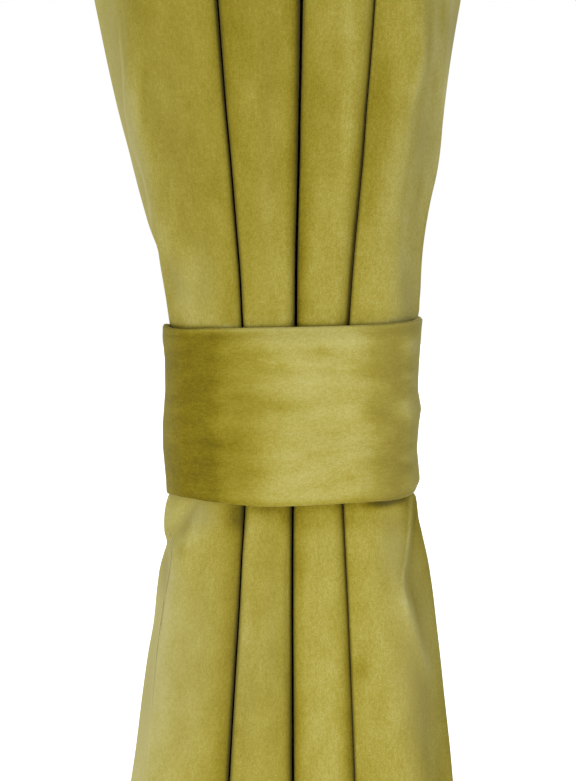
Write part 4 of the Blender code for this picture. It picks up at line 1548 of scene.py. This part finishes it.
# What the two rims do round the band: how far the outer face draws in, the painted highlight along the top
# rim, and the painted shade along the bottom rim.
BandRim = namedtuple("BandRim", "round top_thin bottom_thin top_lay bottom_lay")
BAND_RIMS = (
    BandRim(0.00, 0.0008, 0.0006, 0.20, 0.00),
    BandRim(0.13, 0.0000, 0.0010, 0.20, 0.00),
    BandRim(0.19, -0.0014, 0.0012, 0.50, 0.00),
    BandRim(0.24, -0.0014, 0.0014, 0.80, 0.00),
    BandRim(0.27, 0.0000, 0.0016, 0.80, -0.10),
    BandRim(0.31, 0.0018, 0.0012, 0.60, -0.30),
    BandRim(0.40, 0.0020, 0.0010, 0.05, -0.45),
    BandRim(0.46, 0.0020, 0.0008, 0.50, -0.45),
    BandRim(0.51, 0.0020, 0.0008, 0.95, -0.25),
    BandRim(0.57, 0.0010, 0.0006, 0.20, 0.00),
    BandRim(0.62, 0.0002, 0.0004, 0.20, 0.00),
    BandRim(1.00, 0.0008, 0.0006, 0.20, 0.00),
)
RIM_REACH = 0.085
BAND_PUFF = 0.0006
LEAST_STAND = -0.0006
BAND_UNEVEN = Unevenness(0.050, 0.022, 0.0010, 5.3)
BAND_UNEVEN_LIFT = 0.3
BAND_FRONT = (0.2, 0.8)
BAND_CREASE_FADE = 0.008


def read_points(mesh):
    """The mesh's points as rows of x, y, z."""
    flat = np.empty(3 * len(mesh.vertices), np.float32)
    mesh.vertices.foreach_get("co", flat)
    return flat.reshape(-1, 3).astype(float)


def read_number(mesh, name):
    """A named number of each point of the mesh."""
    values = np.empty(len(mesh.vertices), np.float32)
    mesh.attributes[name].data.foreach_get("value", values)
    return values.astype(float)


def band_relief(points, up, share_up, length_along, out_x, out_y):
    """How far each point of the band stands out past the even tube."""
    relief = np.clip(-out_x, 0, 1) * straight(BAND_WAVES, "left", up)
    relief += np.clip(out_x, 0, 1) * straight(BAND_WAVES, "right", up)
    seen = smooth(-out_y, *BAND_FRONT)
    relief += BAND_PUFF * np.sin(math.pi * share_up) * seen
    for crease in BAND_CREASES:
        places = [point[0] for point in crease.points]
        line = np.interp(points[:, 0], places, [point[1] for point in crease.points])
        fade = fading(points[:, 0], places[0], places[-1], BAND_CREASE_FADE)
        relief += crease.raised * fade * seen * np.exp(-(((up - line) / crease.width) ** 2))
    for n, (far, high) in enumerate(zip(length_along, up)):
        at = Vector((far / BAND_UNEVEN.across, high / BAND_UNEVEN.down, BAND_UNEVEN.seed))
        relief[n] += BAND_UNEVEN.raised * seen[n] * (BAND_UNEVEN_LIFT + noise.noise(at))
    return np.maximum(relief, LEAST_STAND)


def rim_thinning(share_up, round_share, depth_out):
    """How far the band's outer face draws in towards its two pressed edges."""
    thinned = straight(BAND_RIMS, "top_thin", round_share) * smooth(share_up, 1 - RIM_REACH, 1.0)
    thinned += straight(BAND_RIMS, "bottom_thin", round_share) * (1 - smooth(share_up, 0.0, RIM_REACH))
    return thinned * np.clip(0.5 + depth_out / BAND_THICK, 0.0, 1.0)


band_points = read_points(band.data)
share_up = read_number(band.data, "share_up")
length_along = read_number(band.data, "length_along")
depth_out = read_number(band.data, "depth")
band_up = band_points[:, 2] + TIE_DROP
out_x = np.interp(length_along, band_length, outward[:, 0])
out_y = np.interp(length_along, band_length, outward[:, 1])
raised = band_relief(band_points, band_up, share_up, length_along, out_x, out_y)
round_share = np.interp(length_along, band_length, share)
raised -= rim_thinning(share_up, round_share, depth_out)
band_points[:, 0] += out_x * raised
band_points[:, 1] += out_y * raised
band.data.vertices.foreach_set("co", band_points.astype(np.float32).ravel())
print("the band stands out up to", round(raised.max() * 1000, 2), "mm past the even tube")

# %% Lay out the band's two maps
AROUND = 0.95
CAP_STARTS = (0.1, 0.6)
CAP_LONG = 0.3
CAP_FOOT = 0.96
CAP_TALL = 0.03
around = len(band.data.vertices) // len(route)
corners = corner_vertices(band.data)
station, turn = corners // around, corners % around
sizes = np.array([len(face.vertices) for face in band.data.polygons])
face_of_corner = np.repeat(np.arange(len(sizes)), sizes)
crosses_seam = np.zeros(len(sizes), bool)
np.logical_or.at(crosses_seam, face_of_corner, turn == around - 1)
wrapped = np.where(crosses_seam[face_of_corner] & (turn == 0), around, turn)
is_cap = sizes[face_of_corner] > 4
far = length_along[corners]
set_map(band.data, "cloth", np.stack([far, share_up[corners] * BAND_HEIGHT], axis=1))
laid_out = np.stack([far / band_length[-1], AROUND * wrapped / around], axis=1)
cap_deep = read_number(band.data, "depth")[corners] / BAND_THICK + 0.5
cap_start = np.where(station > 0, CAP_STARTS[1], CAP_STARTS[0])
cap_place = np.stack([cap_start + CAP_LONG * share_up[corners], CAP_FOOT + CAP_TALL * cap_deep], axis=1)
laid_out = np.where(is_cap[:, None], cap_place, laid_out)
set_map(band.data, "OFBake", laid_out)
band.data.uv_layers["cloth"].active_render = True
print("maps:", [layer.name for layer in band.data.uv_layers], "points round the section:", around)

# %% [markdown]
# The pile on the band
#
# The band's pile lies sideways, and hands have brushed it. Its left part is deep ochre in a patch with a
# ragged right border, and its middle is pale. Its right end, where the band turns away, carries painted shade
# and painted sheen. A table gives the lie with that painted shade, and the painted sheen, from left to right,
# and seeded noise shifts the place at which the lie is read, which makes its borders ragged. The top rim has
# a painted highlight and the bottom rim painted shade, and the smaller marks are patches.

# %% Paint the pile's lie, painted shading and painted sheen on the band
Across = namedtuple("Across", "x lay bloom")
# The ochre to pale across the band is the pile's own lie. Past x = 0.039, where the band turns away, the
# deeper values and the sheen are painted shade and painted sheen, and the sheen at the far left edge is
# painted too.
BAND_ACROSS = (
    Across(-0.0690, -0.70, 0.30),
    Across(-0.0640, -0.92, 0.10),
    Across(-0.0590, -0.98, 0.00),
    Across(-0.0440, -0.90, 0.00),
    Across(-0.0395, -0.60, 0.00),
    Across(-0.0346, -0.28, 0.00),
    Across(-0.0297, -0.12, 0.00),
    Across(-0.0248, -0.02, 0.00),
    Across(-0.0200, 0.13, 0.00),
    Across(-0.0100, 0.44, 0.00),
    Across(0.0000, 0.62, 0.00),
    Across(0.0050, 0.66, 0.00),
    Across(0.0330, 0.63, 0.00),
    Across(0.0390, 0.45, 0.10),
    Across(0.0440, 0.06, 0.14),
    Across(0.0490, -0.25, 0.22),
    Across(0.0540, -0.50, 0.28),
    Across(0.0590, -0.54, 0.30),
    Across(0.0630, -0.24, 0.36),
    Across(0.0690, 0.45, 0.55),
)
BORDER_WANDER = 0.007
WANDER_ACROSS = 0.030
WANDER_UP = 0.012
WANDER_SEED = 2.2
WANDER_DETAIL = (0.8, 2.0, 4)
# The painted highlight on the top rim and the painted shade on the bottom rim fade in across these shares of
# the band's height.
TOP_RIM = (0.965, 0.990)
BOTTOM_RIM = (0.015, 0.040)
BAND_SEEN = (-0.3, 0.1)
BAND_PATCHES = (
    Patch(-0.0060, 0.0090, 0.016, 0.0045, 6, -0.40),
    Patch(-0.0150, 0.0368, 0.008, 0.0028, 0, -0.40),
    Patch(0.0165, 0.0382, 0.005, 0.0030, 0, -0.35),
    Patch(-0.0058, 0.0296, 0.003, 0.0022, 0, -0.35),
    Patch(0.0320, -0.0310, 0.003, 0.0025, 0, -0.35),
    Patch(0.0520, 0.0120, 0.007, 0.0100, 30, 0.28),
    Patch(-0.0290, -0.0110, 0.014, 0.0090, 0, -0.25),
    Patch(-0.0090, -0.0360, 0.010, 0.0120, 0, 0.12),
    Patch(0.0200, 0.0280, 0.016, 0.0009, -2, -0.15),
    Patch(0.0150, -0.0060, 0.020, 0.0009, -2, -0.12),
    Patch(-0.0480, 0.0350, 0.005, 0.0120, -30, 0.12),
    Patch(0.0180, 0.0450, 0.024, 0.0060, 0, 0.25),
    Patch(-0.0220, 0.0125, 0.012, 0.0050, 0, -0.30),
    Patch(0.0620, 0.0130, 0.006, 0.0080, 0, 0.40),
    Patch(-0.0340, -0.0180, 0.013, 0.0080, 0, -0.45),
    Patch(-0.0200, -0.0320, 0.010, 0.0080, 0, -0.35),
    Patch(0.0640, 0.0430, 0.007, 0.0080, 0, 0.45),
)


def band_pile(points, up, share_up, round_share, seen):
    """The lie of the band's pile with painted highlight and shade on its rims, and its painted sheen, at each
    of its points.
    """
    x = points[:, 0]
    spots = [Vector((far / WANDER_ACROSS, high / WANDER_UP, WANDER_SEED)) for far, high in zip(x, up)]
    moved = x + BORDER_WANDER * np.array([noise.fractal(spot, *WANDER_DETAIL) for spot in spots])
    lay = straight(BAND_ACROSS, "lay", moved)
    lay += straight(BAND_RIMS, "top_lay", round_share) * smooth(share_up, *TOP_RIM)
    lay += straight(BAND_RIMS, "bottom_lay", round_share) * (1 - smooth(share_up, *BOTTOM_RIM))
    lay = patched(lay, BAND_PATCHES, x, up, 1.0)
    return lay * seen, straight(BAND_ACROSS, "bloom", x) * seen


painted = band_pile(band_points, band_up, share_up, round_share, smooth(-out_y, *BAND_SEEN))
for name, values in zip(("pile_lay_and_painted_shading", "painted_sheen_cast"), painted):
    store(band.data, name, values)
for name in (*BandSet._fields[1:], "thinner", "length_along", "share_up", "depth", "outward"):
    band.data.attributes.remove(band.data.attributes[name])
band.data.materials.clear()
band.data.materials.append(band_velvet)
print("pile lay on the band from", round(painted[0].min(), 2), "to", round(painted[0].max(), 2))

# %% [markdown]
# The hems' stitches
#
# A ready-made curtain has its hems sewn by machine, with one straight line of stitches near the inner edge of
# each hem, on both faces. The photo is cut off above the hem and below the heading, so their pitch is a usual
# one. A stitch is the same small thing many times over along a line, which is what instances are for.

# %% Sizes of a stitch
STITCH_PITCH = 0.0045
STITCH_SIZES = {"Pitch": STITCH_PITCH, "Length": 0.0032, "Thickness": 0.0007}
STITCH_SUNK = 0.0001
SEAM_INSIDE = 0.4
print("stitches along one side seam:", round(PANEL_DROP / STITCH_PITCH))


# %% Lines of the seams on the cloth
def seam_lines():
    """The points and outward directions of each seam on both faces, as pairs of arrays."""
    left = int(np.argmin(np.abs(along[rows // 2] - SIDE_HEM)))
    right = int(np.argmin(np.abs(along[rows // 2] - (PANEL_FLAT_WIDTH - SIDE_HEM))))
    top = int(np.argmin(np.abs(heights - TOP_HEM_LINE)))
    foot = int(np.argmin(np.abs(heights - FOOT_HEM_LINE)))
    ends = len(EDGE_ANGLES)
    lines = []
    for face, side in ((pile_side, 1), (reverse_side, -1)):
        for column_at, inward in ((left, -1), (right, 1)):
            near, toward = face[ends:-ends, column_at], face[ends:-ends, column_at + inward]
            lines.append((near + (toward - near) * SEAM_INSIDE, side * out[ends:-ends, column_at]))
        for row_at, inward in ((top, -1), (foot, 1)):
            near, toward = face[row_at, ends:-ends], face[row_at + inward, ends:-ends]
            lines.append((near + (toward - near) * SEAM_INSIDE, side * out[row_at, ends:-ends]))
    return lines


def seam_object():
    """All the seams as one mesh of lines, sunk a little into the cloth."""
    points, edges = [], []
    for line, direction in seam_lines():
        first = len(points)
        points.extend(line - direction * STITCH_SUNK)
        edges.extend((n, n + 1) for n in range(first, first + len(line) - 1))
    return new_mesh_object("seam_lines", points, edges=edges)


# %% The tree that sews along a line
def stitch_tree():
    """Puts one small thread, pointed at both ends, at each pitch along every line."""
    tree = new_tree("stitches_along_a_seam", STITCH_SIZES)
    given = add_node(tree, "NodeGroupInput").outputs
    line = add_node(tree, "GeometryNodeMeshToCurve", None, {"Mesh": given["Geometry"]})
    spaced = add_node(
        tree,
        "GeometryNodeResampleCurve",
        {"mode": "LENGTH"},
        {"Curve": line.outputs["Curve"], "Length": given["Pitch"]},
    )
    one = add_node(
        tree, "GeometryNodeMeshUVSphere", None, {"Segments": 6, "Rings": 4, "Radius": 0.5}
    )
    size = add_node(
        tree,
        "ShaderNodeCombineXYZ",
        None,
        {"X": given["Thickness"], "Y": given["Thickness"], "Z": given["Length"]},
    )
    way = add_node(tree, "GeometryNodeInputTangent")
    turned = add_node(
        tree,
        "FunctionNodeAlignRotationToVector",
        {"axis": "Z"},
        {"Vector": way.outputs["Tangent"]},
    )
    sewn = add_node(
        tree,
        "GeometryNodeInstanceOnPoints",
        None,
        {
            "Points": spaced.outputs["Curve"],
            "Instance": one.outputs["Mesh"],
            "Rotation": turned.outputs["Rotation"],
            "Scale": size.outputs["Vector"],
        },
    )
    finish_tree(tree, sewn.outputs["Instances"], given["Material"])
    return tree


stitches = grown(seam_object(), stitch_tree(), {**STITCH_SIZES, "Material": thread}, "hem_stitches")
print("stitches:", len(stitches.data.polygons), "faces")

# %% [markdown]
# Hang each piece on the root
#
# The three pieces hang from the top edge and move together, so they all ride on the root. The cloth pieces
# take the place of their solids.

for piece in (curtain, band, stitches):
    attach(piece, "root")
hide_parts("curtain_panel")
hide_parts("tieback_band")

# %% [markdown]
# Floor, light and camera
#
# The picture has a plain white ground and soft light from the front, the stronger of its two boxes at the
# left. Both stand a little below the band, so the curtain darkens toward its top. The camera stands one and a
# half metres away at the height of the band, and looks very slightly down on it, through a long lens.

# %% Lay the floor
FLOOR_BELOW = 0.012
FLOOR_HALF = 30.0


def plain_floor():
    """A wide, pale floor just under the hem."""
    level = -PANEL_DROP - FLOOR_BELOW
    half = FLOOR_HALF
    points = [(-half, -half, level), (half, -half, level), (half, half, level), (-half, half, level)]
    made = new_mesh_object("floor", points, [(0, 1, 2, 3)])
    material, tree, shader = new_material("plain_pale_floor", roughness=0.9, specular=0.5)
    shader.inputs["Base Color"].default_value = (0.8, 0.8, 0.8, 1.0)
    shader.inputs["Emission Color"].default_value = (1.0, 1.0, 1.0, 1.0)
    seen = add_node(tree, "ShaderNodeLightPath")
    tree.links.new(seen.outputs["Is Camera Ray"], shader.inputs["Emission Strength"])
    made.data.materials.append(material)
    return made


plain_floor()

# %% Light it softly
Softbox = namedtuple("Softbox", "name place size power")
SOFTBOXES = (
    Softbox("left_softbox", (-0.7, -1.5, -1.65), 0.9, 17.0),
    Softbox("right_softbox", (1.3, -1.1, -1.60), 0.9, 6.0),
)
LIT_POINT = Vector((0.0, 0.0, -1.4))
SURROUNDINGS = 0.62


def white_beyond(tree):
    """An output that is 1 where the camera sees the white surroundings, and less for their light."""
    path = add_node(tree, "ShaderNodeLightPath")
    return mixed(tree, "FLOAT", path.outputs["Is Camera Ray"], SURROUNDINGS, 1.0)


world = bpy.data.worlds.new("white_studio")
bpy.context.scene.world = world
world.use_nodes = True
background = world.node_tree.nodes["Background"]
background.inputs["Color"].default_value = (1.0, 1.0, 1.0, 1.0)
world.node_tree.links.new(white_beyond(world.node_tree), background.inputs["Strength"])
for box in SOFTBOXES:
    light = bpy.data.lights.new(box.name, "AREA")
    light.shape = "DISK"
    light.size = box.size
    light.energy = box.power
    lamp = bpy.data.objects.new(box.name, light)
    lamp.location = box.place
    lamp.rotation_euler = (LIT_POINT - lamp.location).to_track_quat("-Z", "Y").to_euler()
    bpy.context.scene.collection.objects.link(lamp)
print("lights:", [box.name for box in SOFTBOXES])

# %% Set up the camera
CAMERA_AWAY = 1.5
CAMERA_DOWN = math.radians(3.0)
CAMERA_TARGET = Vector((-0.0020, 0.0, -1.2869))
FOCAL_PIXELS = 2627
PICTURE_TALL = 781
SENSOR = 36.0
camera_data = bpy.data.cameras.new("photo_camera")
camera_data.sensor_width = SENSOR
camera_data.lens = SENSOR * FOCAL_PIXELS / PICTURE_TALL
camera = bpy.data.objects.new("photo_camera", camera_data)
camera.location = CAMERA_TARGET + CAMERA_AWAY * Vector((0, -math.cos(CAMERA_DOWN), math.sin(CAMERA_DOWN)))
camera.rotation_euler = (CAMERA_TARGET - camera.location).to_track_quat("-Z", "Y").to_euler()
bpy.context.scene.collection.objects.link(camera)
bpy.context.scene.camera = camera
bpy.context.scene.view_settings.view_transform = "Standard"
print("lens:", round(camera_data.lens, 1), "mm")
